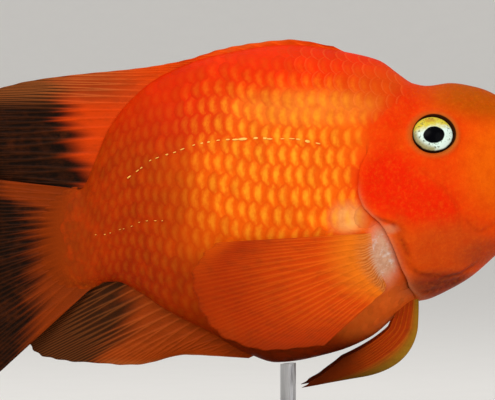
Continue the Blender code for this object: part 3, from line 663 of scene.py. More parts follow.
class Wire:
    """An output socket; arithmetic on it places the Math node that does the same."""

    def __init__(self, tree, socket):
        self.tree = tree
        self.socket = socket

    def math(self, operation, *values):
        """One Math node whose inputs are wires or numbers."""
        node = self.tree.nodes.new("ShaderNodeMath")
        node.operation = operation
        for slot, value in zip(node.inputs, values):
            if isinstance(value, Wire):
                self.tree.links.new(value.socket, slot)
            else:
                slot.default_value = value
        return Wire(self.tree, node.outputs[0])

    def __add__(self, other):
        return self.math("ADD", self, other)

    def __sub__(self, other):
        return self.math("SUBTRACT", self, other)

    def __rsub__(self, other):
        return self.math("SUBTRACT", other, self)

    def __mul__(self, other):
        return self.math("MULTIPLY", self, other)

    def __truediv__(self, other):
        return self.math("DIVIDE", self, other)

    def __pow__(self, other):
        return self.math("POWER", self, other)

    __radd__ = __add__
    __rmul__ = __mul__

    def between(self, low, high):
        """Smooth step of this value from 0 at low to 1 at high."""
        share = (self - low) / (high - low)
        share = share.math("MINIMUM", share.math("MAXIMUM", share, 0.0), 1.0)
        return share * share * (3.0 - 2.0 * share)


def oval(across, up, radii):
    """Distance from the middle of an oval, 1 on its edge."""
    return ((across / radii[0]) ** 2 + (up / radii[1]) ** 2) ** 0.5


class Finish:
    """A Principled material under construction."""

    def __init__(self, name, **constants):
        self.material = bpy.data.materials.new(name)
        self.material.use_nodes = True
        self.tree = self.material.node_tree
        self.shader = self.tree.nodes["Principled BSDF"]
        for word, value in constants.items():
            self.shader.inputs[word.replace("_", " ")].default_value = value

    def node(self, kind, settings=None, inputs=None, output=0):
        """A node of any type, with its settings and the values or wires of its sockets."""
        made = self.tree.nodes.new(kind)
        for word, value in (settings or {}).items():
            setattr(made, word, value)
        for word, value in (inputs or {}).items():
            if isinstance(value, Wire):
                self.tree.links.new(value.socket, made.inputs[word])
            else:
                made.inputs[word].default_value = value
        return Wire(self.tree, made.outputs[output])

    def feed(self, word, wire):
        """Link a wire to a socket of the shader."""
        self.tree.links.new(wire.socket, self.shader.inputs[word])

    def mix(self, share, first, second):
        """Mix of two colours, each a wire or three numbers."""
        factor, colour_a, colour_b, result = 0, 6, 7, 2
        inputs = {factor: share}
        for place, value in ((colour_a, first), (colour_b, second)):
            inputs[place] = value if isinstance(value, Wire) else (*value, 1.0)
        return self.node("ShaderNodeMix", {"data_type": "RGBA"}, inputs, result)

    def place(self, scale=None):
        """Object coordinates in metres, stretched where a scale is given."""
        wire = self.node("ShaderNodeTexCoord", output="Object")
        if scale is None:
            return wire
        return self.node("ShaderNodeMapping", inputs={"Vector": wire, "Scale": scale})

    def noise(self, vector, scale, detail, roughness):
        """Noise value, about 0.5 on average."""
        inputs = {"Vector": vector, "Scale": scale, "Detail": detail, "Roughness": roughness}
        return self.node("ShaderNodeTexNoise", inputs=inputs, output="Fac")

    def axes(self, vector):
        """The three numbers of a vector."""
        made = self.tree.nodes.new("ShaderNodeSeparateXYZ")
        self.tree.links.new(vector.socket, made.inputs[0])
        return [Wire(self.tree, socket) for socket in made.outputs]

    def bump(self, height, strength, distance):
        """Feed a height to the shader's normal through a Bump node."""
        inputs = {"Height": height, "Strength": strength, "Distance": distance}
        self.feed("Normal", self.node("ShaderNodeBump", inputs=inputs, output="Normal"))

    def tint(self, name):
        """A colour attribute of the mesh."""
        return self.node("ShaderNodeAttribute", {"attribute_name": name}, output="Color")

    def chart(self, name):
        """The two numbers of a map of the mesh."""
        return self.axes(self.node("ShaderNodeUVMap", {"uv_map": name}))[:2]


# Colours that the finishes mix in.
BLOOD_RED = (0.58, 0.03, 0.0)
SCALE_RED = (0.60, 0.04, 0.0)
EDGE_RED = (0.50, 0.03, 0.0)
PALE_ORANGE = (1.0, 0.19, 0.006)
PALE_EDGE = (1.0, 0.28, 0.05)
SILVER_FLAKE = (0.72, 0.68, 0.66)
SILVER_GAP = (0.40, 0.15, 0.06)
SOCKET_OCHRE = (0.36, 0.15, 0.02)
FIN_DUSK = (0.10, 0.02, 0.003)
FIN_CLOUD = (0.75, 0.12, 0.01)
IRIS_OLIVE = (0.50, 0.42, 0.10)
IRIS_AMBER = (0.46, 0.19, 0.01)
IRIS_HIND = (0.30, 0.24, 0.04)
IRIS_SPOT = (0.10, 0.12, 0.07)
PUPIL_BLACK = (0.001, 0.001, 0.002)
PORE_ORANGE = (0.9, 0.36, 0.06)

# Eye, in millimetres across and up from its middle.
EYE_CHART = 20.0
SOCKET_RADII = (7.1, 6.3)
IRIS_RADII = (6.45, 6.0)
AMBER_AT, AMBER_RADII = (-0.2, 4.3), (2.6, 1.5)
PUPIL_AT, PUPIL_RADII = (-0.35, -1.35), (3.55, 2.75)


def skin_finish(colours):
    """Wet skin: the markings with mottling and pores, and a dark ring painted round each eye."""
    finish = Finish("wet_skin", Specular_IOR_Level=0.02)
    place = finish.place()
    x, _, z = finish.axes(place)
    mottle = finish.noise(place, 230.0, 6.0, 0.68)
    tint = finish.tint("tint")
    silver = finish.node("ShaderNodeSeparateColor", inputs={"Color": tint}, output="Blue").between(0.06, 0.3)
    plain = (1.0 - silver) * x.between(-0.078, -0.066)
    tint = finish.mix(mottle.between(0.35, 0.75) * 0.36 * plain, tint, BLOOD_RED)
    pale = finish.noise(place, 700.0, 5.0, 0.72)
    tint = finish.mix(pale.between(0.42, 0.82) * 0.24 * plain, tint, PALE_ORANGE)
    flake = finish.noise(place, 420.0, 5.0, 0.75)
    tint = finish.mix(flake.between(0.5, 0.62) * silver * 0.6, tint, SILVER_FLAKE)
    tint = finish.mix(pale.between(0.42, 0.62) * silver * 0.55, tint, SILVER_GAP)
    across = (x - (EYE_AT[0] + BELLY_X) * MM) * 1000.0
    up = (z - (EYE_AT[1] + BELLY_Z) * MM) * 1000.0
    radius = oval(across, up, SOCKET_RADII)
    lean = across * 0.09 + up * 0.075
    thick = lean.between(-0.45, 0.75) * 0.13
    halo = (1.0 - radius.between(1.02, 1.36)) * (0.4 + across.between(0.0, 6.0) * 0.3)
    tint = finish.mix(halo, tint, SOCKET_OCHRE)
    ring = 1.0 - radius.between(0.92 + thick, 0.98 + thick)
    tint = finish.mix(ring * 0.96, tint, colours["eye_ring"])
    finish.feed("Base Color", tint)
    pores = finish.noise(place, 1500.0, 2.0, 0.5)
    finish.feed("Roughness", 0.34 + mottle * 0.2)
    finish.bump(pores * 0.3 + pale * 0.7, 0.5, 0.0008)
    return finish.material


def scale_finish():
    """Scales: skin colour in the gaps, a lens of yellow in the middle, fine growth rings in the bump.

    The free edges are a little darker, and paler on the nape.
    """
    finish = Finish("scale_coat", Specular_IOR_Level=0.025)
    across, run = finish.chart("plate")
    off = (across - 0.5) / 0.46
    ahead = (run - 0.78) / 0.17
    place = finish.place()
    x, _, z = finish.axes(place)
    speckle = finish.noise(finish.place((1.0, 1.0, 0.45)), 1000.0, 4.0, 0.65)
    lens = 1.0 - (off * off + ahead * ahead) ** 0.5 + (speckle - 0.5) * 1.5
    tint = finish.mix(lens.between(-0.2, 1.0), finish.tint("tint"), finish.tint("glow"))
    edge = run.between(0.88, 0.99)
    nape = x.between(-0.01, 0.012) * z.between(0.100, 0.112)
    tint = finish.mix(edge * (1.0 - nape) * 0.08, tint, EDGE_RED)
    tint = finish.mix(edge * nape * 0.16, tint, PALE_EDGE)
    mottle = finish.noise(place, 210.0, 5.0, 0.65)
    tint = finish.mix(mottle.between(0.4, 0.75) * 0.4, tint, SCALE_RED)
    finish.feed("Base Color", tint)
    finish.feed("Roughness", 0.34 + mottle * 0.2)
    rings = run.math("SINE", run * 190.0)
    finish.bump(rings * 0.15 + speckle * 0.6, 0.2, 0.0004)
    return finish.material


def fin_finish(name, segment):
    """Fin: ray and membrane colours from the mesh, with ray joints and fine creases in the bump."""
    finish = Finish(name, Roughness=0.45, Specular_IOR_Level=0.03)
    phase, run = finish.chart("ribs")
    place = finish.place()
    streak = finish.noise(finish.place((0.35, 1.0, 1.0)), 520.0, 4.0, 0.65)
    tint = finish.mix(streak.between(0.42, 0.72) * 0.22, finish.tint("tint"), FIN_DUSK)
    cloud = finish.noise(place, 130.0, 4.0, 0.6)
    finish.feed("Base Color", finish.mix(cloud.between(0.5, 0.8) * 0.06, tint, FIN_CLOUD))
    joints = run.math("SINE", run * (2 * math.pi / segment))
    fine = phase.math("SINE", phase * (2 * math.pi * 6.0))
    finish.bump(joints * 0.15 + fine * 0.3 + streak * 0.45, 0.14, 0.0004)
    return finish.material


def eye_finish(colours):
    """Eye: an oval pupil in a silvery iris, gold above and olive behind, with fine dark flecks."""
    finish = Finish("eye_wet", Roughness=0.25, Specular_IOR_Level=0.03)
    chart_u, chart_v = finish.chart("face")
    across, up = (chart_u - 0.5) * EYE_CHART, (chart_v - 0.5) * EYE_CHART
    place = finish.place()
    cloud = finish.noise(place, 700.0, 3.0, 0.6)
    flecks = finish.noise(place, 1500.0, 2.0, 0.5)
    radius = oval(across, up, IRIS_RADII) + (cloud - 0.5) * 0.06
    gold = (up + (cloud - 0.5) * 4.0).between(-0.2, 2.8)
    tint = finish.mix(gold, colours["iris"], colours["iris_gold"])
    tint = finish.mix(flecks.between(0.48, 0.62) * gold * 0.4, tint, IRIS_OLIVE)
    amber = 1.0 - oval(across - AMBER_AT[0], up - AMBER_AT[1], AMBER_RADII) + (flecks - 0.5) * 1.2
    tint = finish.mix(amber.between(0.0, 0.6) * 0.65, tint, IRIS_AMBER)
    hind = (across * -0.75 - up * 0.6 + (cloud - 0.5) * 3.0).between(2.4, 4.8)
    tint = finish.mix(hind * radius.between(0.72, 0.94) * 0.85, tint, IRIS_HIND)
    band = 1.0 - ((radius - 0.80) / 0.16) ** 2
    spots = flecks.between(0.56, 0.66) * band.between(0.0, 0.8)
    tint = finish.mix(spots * 0.8, tint, IRIS_SPOT)
    tint = finish.mix(radius.between(0.97, 1.03), tint, colours["eye_ring"])
    pupil = oval(across - PUPIL_AT[0], up - PUPIL_AT[1], PUPIL_RADII) + (cloud - 0.5) * 0.16
    finish.feed("Base Color", finish.mix(1.0 - pupil.between(0.95, 1.04), tint, PUPIL_BLACK))
    return finish.material


def pore_finish(colours):
    """Pores of the lateral line: pale, slightly pearly."""
    finish = Finish("line_pores", Roughness=0.3, Specular_IOR_Level=0.2)
    cloud = finish.noise(finish.place(), 600.0, 3.0, 0.6)
    finish.feed("Base Color", finish.mix(cloud, colours["lateral_line"], PORE_ORANGE))
    return finish.material


def black_finish():
    """Satin black lacquer with a faint orange-peel and small wear of its sheen."""
    finish = Finish("satin_black", Coat_Weight=0.15, Coat_Roughness=0.25)
    place = finish.place()
    cloud = finish.noise(place, 45.0, 5.0, 0.6)
    grain = finish.noise(place, 1400.0, 2.0, 0.5)
    finish.feed("Base Color", finish.mix(cloud, (0.010, 0.010, 0.011), (0.022, 0.021, 0.021)))
    finish.feed("Roughness", 0.3 + cloud * 0.22)
    finish.bump(grain, 0.12, 0.0003)
    return finish.material


def steel_finish():
    """Steel brushed round its length, with soft smudges."""
    finish = Finish("brushed_steel", Metallic=1.0)
    brush = finish.noise(finish.place((1.0, 1.0, 0.04)), 2600.0, 2.0, 0.6)
    smudge = finish.noise(finish.place(), 90.0, 4.0, 0.6)
    finish.feed("Base Color", finish.mix(brush, (0.42, 0.42, 0.43), (0.66, 0.66, 0.67)))
    finish.feed("Roughness", 0.2 + brush * 0.14 + smudge * 0.1)
    finish.bump(brush, 0.15, 0.0002)
    return finish.material


def floor_finish(tint):
    """Matt studio paper with a barely visible grain."""
    finish = Finish("studio_paper", Roughness=0.85, Emission_Color=(1.0, 0.99, 0.97, 1.0),
                    Emission_Strength=0.12)
    grain = finish.noise(finish.place(), 40.0, 4.0, 0.6)
    finish.feed("Base Color", finish.mix(grain, tint, tint * 0.96))
    return finish.material


# ---- Skin


SKIN_COLUMNS = 360
MOUTH_INSIDE = (0.12, 0.45, 0.75, 0.95)
MOUTH_DEPTH = 7.0
LIP_ROWS = 20
LIP_SWELL = 1.9
HEAD_ROWS = 118
FOLD_START = len(MOUTH_INSIDE) + LIP_ROWS + HEAD_ROWS - 2
FOLD_FRONT_ROWS = 8
FOLD_RIM = FOLD_START + 8.0
# Row at the middle of the painted shade in the gill fold's valley.
FOLD_VALLEY = FOLD_START + 15.5
TRUNK_ROWS = 74
SHEATH_ROWS = 14
SHEATH_LENGTH = 11.0
SHEATH_HALF = 0.12
CAP_SHARES = (0.8, 0.5, 0.2)


def muzzle_x(y, z):
    """Foremost x where the flesh is as wide as y at height z, found by halving."""
    ahead = np.full(np.shape(z), NOSE_X - 1e-5)
    behind = np.full(np.shape(z), 55.0)
    for _ in range(34):
        middle = (ahead + behind) / 2
        wide = flank(middle, z) >= np.abs(y) + 1e-5
        behind = np.where(wide, middle, behind)
        ahead = np.where(wide, ahead, middle)
    return behind


def mouth_rows(turn):
    """Rings of the lips: straight from the slit to the muzzle in the front view, swelling as two lips."""
    share = np.linspace(0.0, 1.0, LIP_ROWS)[:, None] ** 1.25
    muzzle = skin_points(np.full_like(turn, MUZZLE_X), turn)
    slit_y = MOUTH_HALF * np.cos(turn)
    drop = MOUTH_DROP * (slit_y / MOUTH_HALF) ** 2
    slit_z = MOUTH_HEIGHT - drop + MOUTH_GAPE * np.sin(turn)
    y = slit_y + (muzzle[:, 1] - slit_y) * share
    z = slit_z + (muzzle[:, 2] - slit_z) * share
    base = np.stack([muzzle_x(y, z), y, z], axis=-1)
    normal = grid_normals(np.concatenate([base[:, -1:], base, base[:, :1]], axis=1))[:, 1:-1]
    normal *= np.sign(normal[..., :1])
    distance = np.hypot(y - slit_y, z - slit_z)
    width = 3.0 + 2.0 * np.abs(np.sin(turn))
    lip = np.clip(distance / width, 0.0, 1.0)
    swell = LIP_SWELL * np.cos(lip * math.pi / 2) ** 0.8 - 0.3 * hump(distance - width, 0.9)
    swell = swell * (0.55 + 0.45 * np.abs(np.sin(turn)))
    lips = base + normal * swell[..., None]
    lips[..., 0] -= 0.5 * hump(distance, 0.8)
    centre = np.stack(
        [0 * turn + NOSE_X - MOUTH_DEPTH, 3.0 * np.cos(turn), MOUTH_HEIGHT - 0.4 + 0 * turn], axis=-1)
    inside = [centre + (lips[0] - centre) * depth for depth in MOUTH_INSIDE]
    return np.concatenate([inside, lips])


def fold_strength(share):
    """How far the gill opening stands open at each share of the height: closed towards the nape."""
    return (1 - ramp(share, 0.26, 0.26)) * (0.35 + 0.65 * ramp(share, -1.0, 0.25))


def fold_rows(turn):
    """Rings over the gill opening: its section laid across the edge, flat where the opening is closed."""
    share = height_share(turn)
    open_run, open_height = np.array(GILL_FOLD).T[:, :, None]
    thin = 0.55 + 0.45 * ramp(share, -0.25, 0.3)
    open_height = open_height * np.where(open_height > 0, thin, 1.0)
    flat_run = np.linspace(GILL_FOLD[0][0], GILL_FOLD[-1][0], len(GILL_FOLD))[:, None]
    flat_height = -COAT_DEPTH * ramp(flat_run, -3.0, 7.0)
    strength = fold_strength(share)
    run = flat_run + (open_run - flat_run) * strength
    height = flat_height + (open_height - flat_height) * strength
    base, outward, _ = skin_frame(edge_x(GILL_OPENING, share) - run, turn)
    return base + outward * height[..., None]


def head_relief(points):
    """Height over the flank of the head's own forms: gill plate, ridge, creases, orbit and nostrils."""
    x, z = points[..., 0], points[..., 2]
    distance, side, place = nearest_on(GILL_PLATE, x, z)
    ends = ramp(np.minimum(place, 1 - place), 0.0, 0.12)
    height = 0.7 * ramp(distance * side, 0.0, 0.8) * hump(distance, 8.0) * ends
    height = height - 0.4 * hump(distance * side + 0.6, 0.65) * ends
    for line, shift_x, shift_z, width, taper, rise in HEAD_CREASES:
        height = height + rise * crease(line, x - shift_x, z - shift_z, width, taper)
    radius = np.hypot((x - EYE_AT[0]) / ORBIT[0], (z - EYE_AT[1]) / ORBIT[1])
    height = height + ORBIT_RIM_HEIGHT * hump(radius - ORBIT_RIM, ORBIT_RIM_WIDTH)
    height = height - ORBIT_DEPTH * (1 - ramp(radius, ORBIT_WALL, ORBIT_WALL_WIDTH))
    hole = np.hypot(x - NOSTRIL_AT[0], z - NOSTRIL_AT[1])
    height = height - NOSTRIL_DEPTH * hump(hole, 0.75) + 0.3 * hump(hole - 1.5, 0.6)
    for centre, reach_x, reach_z, rise in HEAD_HILLS:
        height = height + rise * bell(x, z, centre, reach_x, reach_z)
    return height


def head_rows(turn):
    """Rings from the muzzle to the gill opening, with their outward directions."""
    share = np.linspace(0.0, 1.0, HEAD_ROWS)[:, None]
    start, end = along(MUZZLE_X), along(edge_x(GILL_OPENING, height_share(turn)) - GILL_FOLD[0][0])
    return skin_frame(NOSE_X - (start + (end - start) * share) ** 2, turn)[:2]


def trunk_rows(turn):
    """Rings behind the gill opening, sunk by the depth of the scales, then a sheath over the tail's rays.

    The sheath goes on along the rays while its half-width falls to the fin's own, then closes.
    """
    share = np.linspace(0.0, 1.0, TRUNK_ROWS)[1:, None]
    level = height_share(turn)
    start = edge_x(GILL_OPENING, level) - GILL_FOLD[-1][0]
    end = edge_x(FAN_EDGE, level)
    base, outward, _ = skin_frame(start + (end - start) * share, turn)
    trunk = base - outward * COAT_DEPTH
    rim = trunk[-1]
    run = np.linspace(0.0, 1.0, SHEATH_ROWS + 1)[1:, None]
    tips = through(FAN_TIPS, (1 - np.clip(level / FAN_SPAN, -1.0, 1.0)) / 2)
    rays = unit(tips - rim[:, [0, 2]])
    reach = SHEATH_LENGTH * (1 - 0.35 * np.abs(level) ** 3) * run
    narrow = (1 - run) ** 1.6
    y = rim[:, 1] * narrow + np.sign(rim[:, 1]) * SHEATH_HALF * (1 - narrow) * (np.abs(level) < 0.995)
    sheath = np.stack([rim[:, 0] + rays[:, 0] * reach, y, rim[:, 2] + rays[:, 1] * reach], axis=-1)
    sheath[..., 2] -= 1.4 * level * np.abs(level) * ease(run)
    axis = sheath[-1].mean(axis=0) + np.array([2.0, 0.0, 0.0])
    caps = [axis + (sheath[-1] - axis) * inset for inset in CAP_SHARES]
    return np.concatenate([trunk, sheath, caps])


def with_ends(values):
    """Values at the points of the skin's rings in one row, and zero at the two points that close it."""
    return np.concatenate([values.ravel(), [0.0, 0.0]])


def skin_tints(scene, rings, points, level):
    """Colours of the skin: markings, the rim of the gill opening with painted shade in its valley, rays of
    the sheath, and lips.
    """
    colours = palette(scene)
    row = np.arange(len(rings))[:, None]
    tint = markings(points[:, 0], points[:, 2], colours)
    strength = fold_strength(level)
    rim = hump(row - FOLD_RIM, 1.6) * strength * (1 - ramp(level, 0.05, 0.2))
    tint = blend(tint, colours["gill_rim"], 0.5 * with_ends(rim))
    # Painted shade in the valley behind the gill opening's rim, where the fold covers the flank.
    valley = np.exp(-(((row - FOLD_VALLEY) / 2.4) ** 4)) * strength
    tint = tint * (1 - 0.6 * with_ends(valley))[:, None]
    rays = (FAN_RAYS - 1) * (1 - np.clip(level / FAN_SPAN, -1.0, 1.0)) / 2
    out = tail_dusk(rings[..., 0], rings[..., 2]) + uneven(rays)
    ridge = ray_relief(rays, 0.15, 1.0) + 0 * out
    rayed = fin_tints(scene, colours["tail_root"], ridge, out, 0 * out)
    rayed = np.concatenate([rayed.reshape(-1, 3), tint[-2:]])
    past = ramp(row, len(rings) - SHEATH_ROWS - len(CAP_SHARES), SHEATH_ROWS / 2)
    tint = blend(tint, rayed, with_ends(past + 0 * out))
    lips = np.exp(-(np.hypot(points[:, 1] / 9.0, (points[:, 2] - MOUTH_HEIGHT + 1.0) / 4.5) ** 4))
    return blend(tint, colours["lips"], 0.7 * (lips * (points[:, 0] > 74.0)))


def build_skin(scene):
    """One skin from inside the mouth over the lips, head, gill covers and trunk to the tail fan."""
    turn = full_turn(SKIN_COLUMNS)
    turn = turn - 0.2 * np.sin(2 * turn)
    level = height_share(turn)
    head, outward = head_rows(turn)
    head = head + outward * (head_relief(head) * (1 - np.abs(level) ** 10))[..., None]
    fold = fold_rows(turn)
    front = (np.arange(len(fold)) < FOLD_FRONT_ROWS)[:, None]
    sideways = unit(fold * np.array([0.0, 1.0, 0.0]))
    fold = fold + sideways * (0.6 * head_relief(fold) * front)[..., None]
    rings = np.concatenate([mouth_rows(turn), head[1:], fold[1:], trunk_rows(turn)])
    points = np.concatenate([rings.reshape(-1, 3), rings[[0, -1]].mean(axis=1)])
    tints = {"tint": skin_tints(scene, rings, points, level)}
    faces = outward_faces(points, tube_faces(len(rings), SKIN_COLUMNS))
    made = lay_mesh("skin", bend(points), faces, skin_finish(palette(scene)), tints)
    as_piece(made, "body_skin", "head", "trunk", "tail_stalk", "gill_cover_right", "gill_cover_left",
             "upper_lip", "lower_lip")


# ---- Eyes


EYE_COLUMNS = 96
EYE_RINGS = 50
CORNEA_REACH = (3.8, 3.0)
CORNEA_BULGE = 0.35


def build_eyes(scene):
    """Two flattened balls: rings of an ellipse, smaller towards the front and the back of the eye.

    The front swells a little over the pupil.
    """
    sizes = scene.fish_sizes
    here, outward, ahead = skin_frame(EYE_AT[0], turn_at(*EYE_AT))
    up = unit(np.cross(ahead, outward))
    up = up * np.sign(up[2])
    swing = full_turn(EYE_COLUMNS)[None, :]
    rise = np.linspace(-0.5, 0.5, EYE_RINGS)[1:-1, None] * math.pi
    across = sizes.eye_length / MM / 2 * np.cos(rise) * np.cos(swing)
    height = sizes.eye_height / MM / 2 * np.cos(rise) * np.sin(swing)
    depth = sizes.eye_depth / MM * np.sin(rise) + 0 * swing
    depth = depth + CORNEA_BULGE * bell(across, height, (0.0, 0.0), *CORNEA_REACH) * (depth > 0)
    local = np.stack([across, height, depth], axis=-1)
    local = np.concatenate([local.reshape(-1, 3), local[[0, -1]].mean(axis=1)])
    ball = here - outward * EYE_SINK + local @ np.array([ahead, up, outward])
    chart = 0.5 + local[:, :2] / EYE_CHART
    finish = eye_finish(palette(scene))
    for side, word in SIDES:
        points = on_side(ball, side)
        faces = outward_faces(points, tube_faces(len(rise), EYE_COLUMNS))
        made = lay_mesh(f"eyeball_{word}", bend(points), faces, finish, maps={"face": chart})
        as_piece(made, "eye", f"eye_{word}")


# ---- Scales


PLATE_ROWS = 5
PLATE_COLUMNS = 7
PLATE_SINK = 0.34
PLATE_LEVEL = 0.25
# The map for baking: where it starts, its length and height in millimetres, and a scale's share of it.
BAKE_START = 75.0
BAKE_LENGTH = 160.0
BAKE_HEIGHT = 150.0
PLATE_PATCH = 0.003
SMALL_GRADE = 0.52
ROWS_EACH_WAY = 16
EDGE_GAP = 1.2
# Bare skin at the root of the pectoral fin: foremost x without it, lowest and highest point.
BARE_SKIN = (23.0, 25.0, 46.0)
GIRTH_STEP = 0.5
GIRTH_REACH = 90.0
GIRTH_TURNS = 541
PORE_COLUMNS = 10
PORE_RINGS = 9


def girth_table():
    """Angles round the left flank at even distances from its widest line, for stations along the fish.

    With the stations and distances, and at each station the distance to the back and to the belly.
    """
    stations = np.arange(-73.0, 70.0, GIRTH_STEP)
    turns = np.linspace(-2.7, 2.7, GIRTH_TURNS)
    points = skin_points(stations[:, None], turns[None, :])
    steps = np.linalg.norm(np.diff(points[..., 1:], axis=1), axis=-1)
    run = np.concatenate([np.zeros((len(stations), 1)), np.cumsum(steps, axis=1)], axis=1)
    run = run - run[:, [GIRTH_TURNS // 2]]
    reach = np.arange(-GIRTH_REACH, GIRTH_REACH, GIRTH_STEP)
    table = np.array([np.interp(reach, line, turns) for line in run])
    back = np.searchsorted(turns, math.pi / 2)
    return stations, reach, table, run[:, back], -run[:, GIRTH_TURNS - 1 - back]


def girth_turn(tables, x, reach):
    """Angle round the section at x and at a distance round the flank, read between the table's lines."""
    stations, reaches, table = tables[:3]
    column = np.clip((x - stations[0]) / GIRTH_STEP, 0, len(stations) - 1.001)
    row = np.clip((reach - reaches[0]) / GIRTH_STEP, 0, len(reaches) - 1.001)
    c, r = column.astype(int), row.astype(int)
    part_c, part_r = column - c, row - r
    low = table[c, r] * (1 - part_r) + table[c, r + 1] * part_r
    high = table[c + 1, r] * (1 - part_r) + table[c + 1, r + 1] * part_r
    return low * (1 - part_c) + high * part_c


def scale_size(x):
    """Size of a scale against those of the middle flank: smaller on the tail stalk and the nape."""
    return np.interp(x, (-72.0, -60.0, -45.0, -20.0, 20.0, 40.0), (0.5, 0.62, 0.78, 1.0, 1.0, 0.9))


def breast_line(x):
    """Height under which the belly carries the small scales of the breast."""
    return 15.0 + 0.36 * x


def scale_places(tables, pitch, row_pitch, grade):
    """Root x, distance round the flank and size of one side's scales of a grade, in staggered rows."""
    fine = np.linspace(48.0, -71.0, 2000)
    count = np.concatenate([[0.0], np.cumsum(-np.diff(fine) / (pitch * grade * scale_size(fine[1:])))])
    stations, _, _, to_back, to_belly = tables
    bare_x, bare_low, bare_high = BARE_SKIN
    found = []
    for row in range(-int(ROWS_EACH_WAY / grade), int(ROWS_EACH_WAY / grade)):
        steps = np.arange(0.5 * (row % 2), count[-1], 1.0)
        x = np.interp(steps, count, fine)
        size = scale_size(x)
        reach = row * row_pitch * grade * size
        turn = girth_turn(tables, x, reach)
        height = skin_points(x, turn)[:, 2]
        start = edge_x(GILL_OPENING, height_share(turn)) + 5.0 * grade
        end = edge_x(FAN_EDGE, height_share(turn)) + 3.2
        top = np.interp(x, stations, to_back) - EDGE_GAP
        foot = -np.interp(x, stations, to_belly) + EDGE_GAP
        keep = (x < start) & (x > end) & (reach < top) & (reach > foot)
        keep &= ~((x > bare_x) & (height > bare_low) & (height < bare_high))
        over = height - breast_line(x)
        keep &= (over > 0) if grade == 1.0 else (over < 2.0) & (x > -34.0)
        found.append(np.stack([x, reach, grade * size], axis=-1)[keep])
    return np.concatenate(found)


def plate_shape():
    """One scale's shape: shares across and along, with a round free edge and a narrow root."""
    across = np.sin(np.linspace(-0.5, 0.5, PLATE_COLUMNS) * math.pi)[:, None]
    run = np.linspace(0.0, 1.0, PLATE_ROWS)[None, :] ** 0.85
    edge = 0.52 + 0.48 * np.sqrt(np.clip(1 - across**2, 0.0, 1.0))
    wide = across * (0.72 + 0.28 * ease(run * 1.8))
    return wide, run * edge, across + 0 * run, run + 0 * across


def build_scales(scene):
    """Scales of both sides: plates that follow the flank, rise to their free edge and overlap like tiles.

    They lie flatter behind the head, along the back and where they are small.
    """
    sizes, colours = scene.fish_sizes, palette(scene)
    tables = girth_table()
    pitches = sizes.scale_pitch / MM, sizes.row_pitch / MM
    places = np.concatenate([scale_places(tables, *pitches, grade) for grade in (1.0, SMALL_GRADE)])
    spread = np.random.default_rng(7).normal(size=(len(places), 4))[:, :, None, None]
    wide, back, across, run = plate_shape()
    root_x, root_reach, size = places.T[:, :, None, None]
    grown = size * (1 + 0.03 * spread[:, 0])
    x = root_x - back * grown * sizes.scale_length / MM
    lean = 0.03 * spread[:, 1] * back * grown * sizes.scale_length / MM
    shrink = scale_size(x) / scale_size(root_x)
    reach = root_reach * shrink + wide * grown * sizes.scale_height / MM / 2 + lean
    base, outward, _ = skin_frame(x, girth_turn(tables, x, reach))
    z = base[..., 2]
    rise = (sizes.scale_rise / MM + 0.012 * spread[:, 2]) * size**0.5 * back**0.9
    rise = rise - 0.05 * across**2 * run - PLATE_SINK
    level = 0.1 + 0.4 * ramp(x, 8.0, 20.0) + 0.35 * ramp(z, 80.0, 14.0)
    level = np.maximum(np.minimum(level, 0.6), 0.8 * (1 - ramp(size, 0.5, 0.3)))
    rise = (rise + PLATE_LEVEL) * (1 - level) - PLATE_LEVEL
    half = sizes.scale_thickness / MM / 2
    plates = np.stack([base + outward * (rise + way)[..., None] for way in (half, -half)], axis=1)

    def both_faces(values):
        """Values of every scale's points, the same on its two faces."""
        return np.stack([values + 0 * x[..., None]] * 2, axis=1)

    bright = 1 + 0.045 * spread[:, 3, ..., None]
    tints = {"tint": both_faces(markings(x, z, colours) * bright),
             "glow": both_faces(scale_glow(x, z, colours) * bright)}
    unwrap = np.stack([(root_x + BAKE_START) / BAKE_LENGTH + (across + 1) * PLATE_PATCH / 2 + 0 * x,
                       (root_reach + BAKE_START) / BAKE_HEIGHT + run * PLATE_PATCH + 0 * x], axis=-1)
    maps = {"plate": both_faces(np.stack([0.5 + across / 2, run], axis=-1)),
            "OFBake": both_faces(unwrap)}
    plate = sheet_faces(PLATE_COLUMNS, PLATE_ROWS)[0]
    rim = np.tile(np.arange(len(plate)) >= 2 * (PLATE_ROWS - 1) * (PLATE_COLUMNS - 1), len(places))
    shifts = np.arange(len(places)) * 2 * PLATE_ROWS * PLATE_COLUMNS
    faces = (plate[None] + shifts[:, None, None]).reshape(-1, 4)
    finish = scale_finish()
    for side, word in SIDES:
        points = on_side(plates.reshape(-1, 3), side)
        outer = outward_faces(points, [faces])
        made = lay_mesh(f"scales_{word}", bend(points), outer, finish, tints, maps, rim)
        as_piece(made, "body_skin")


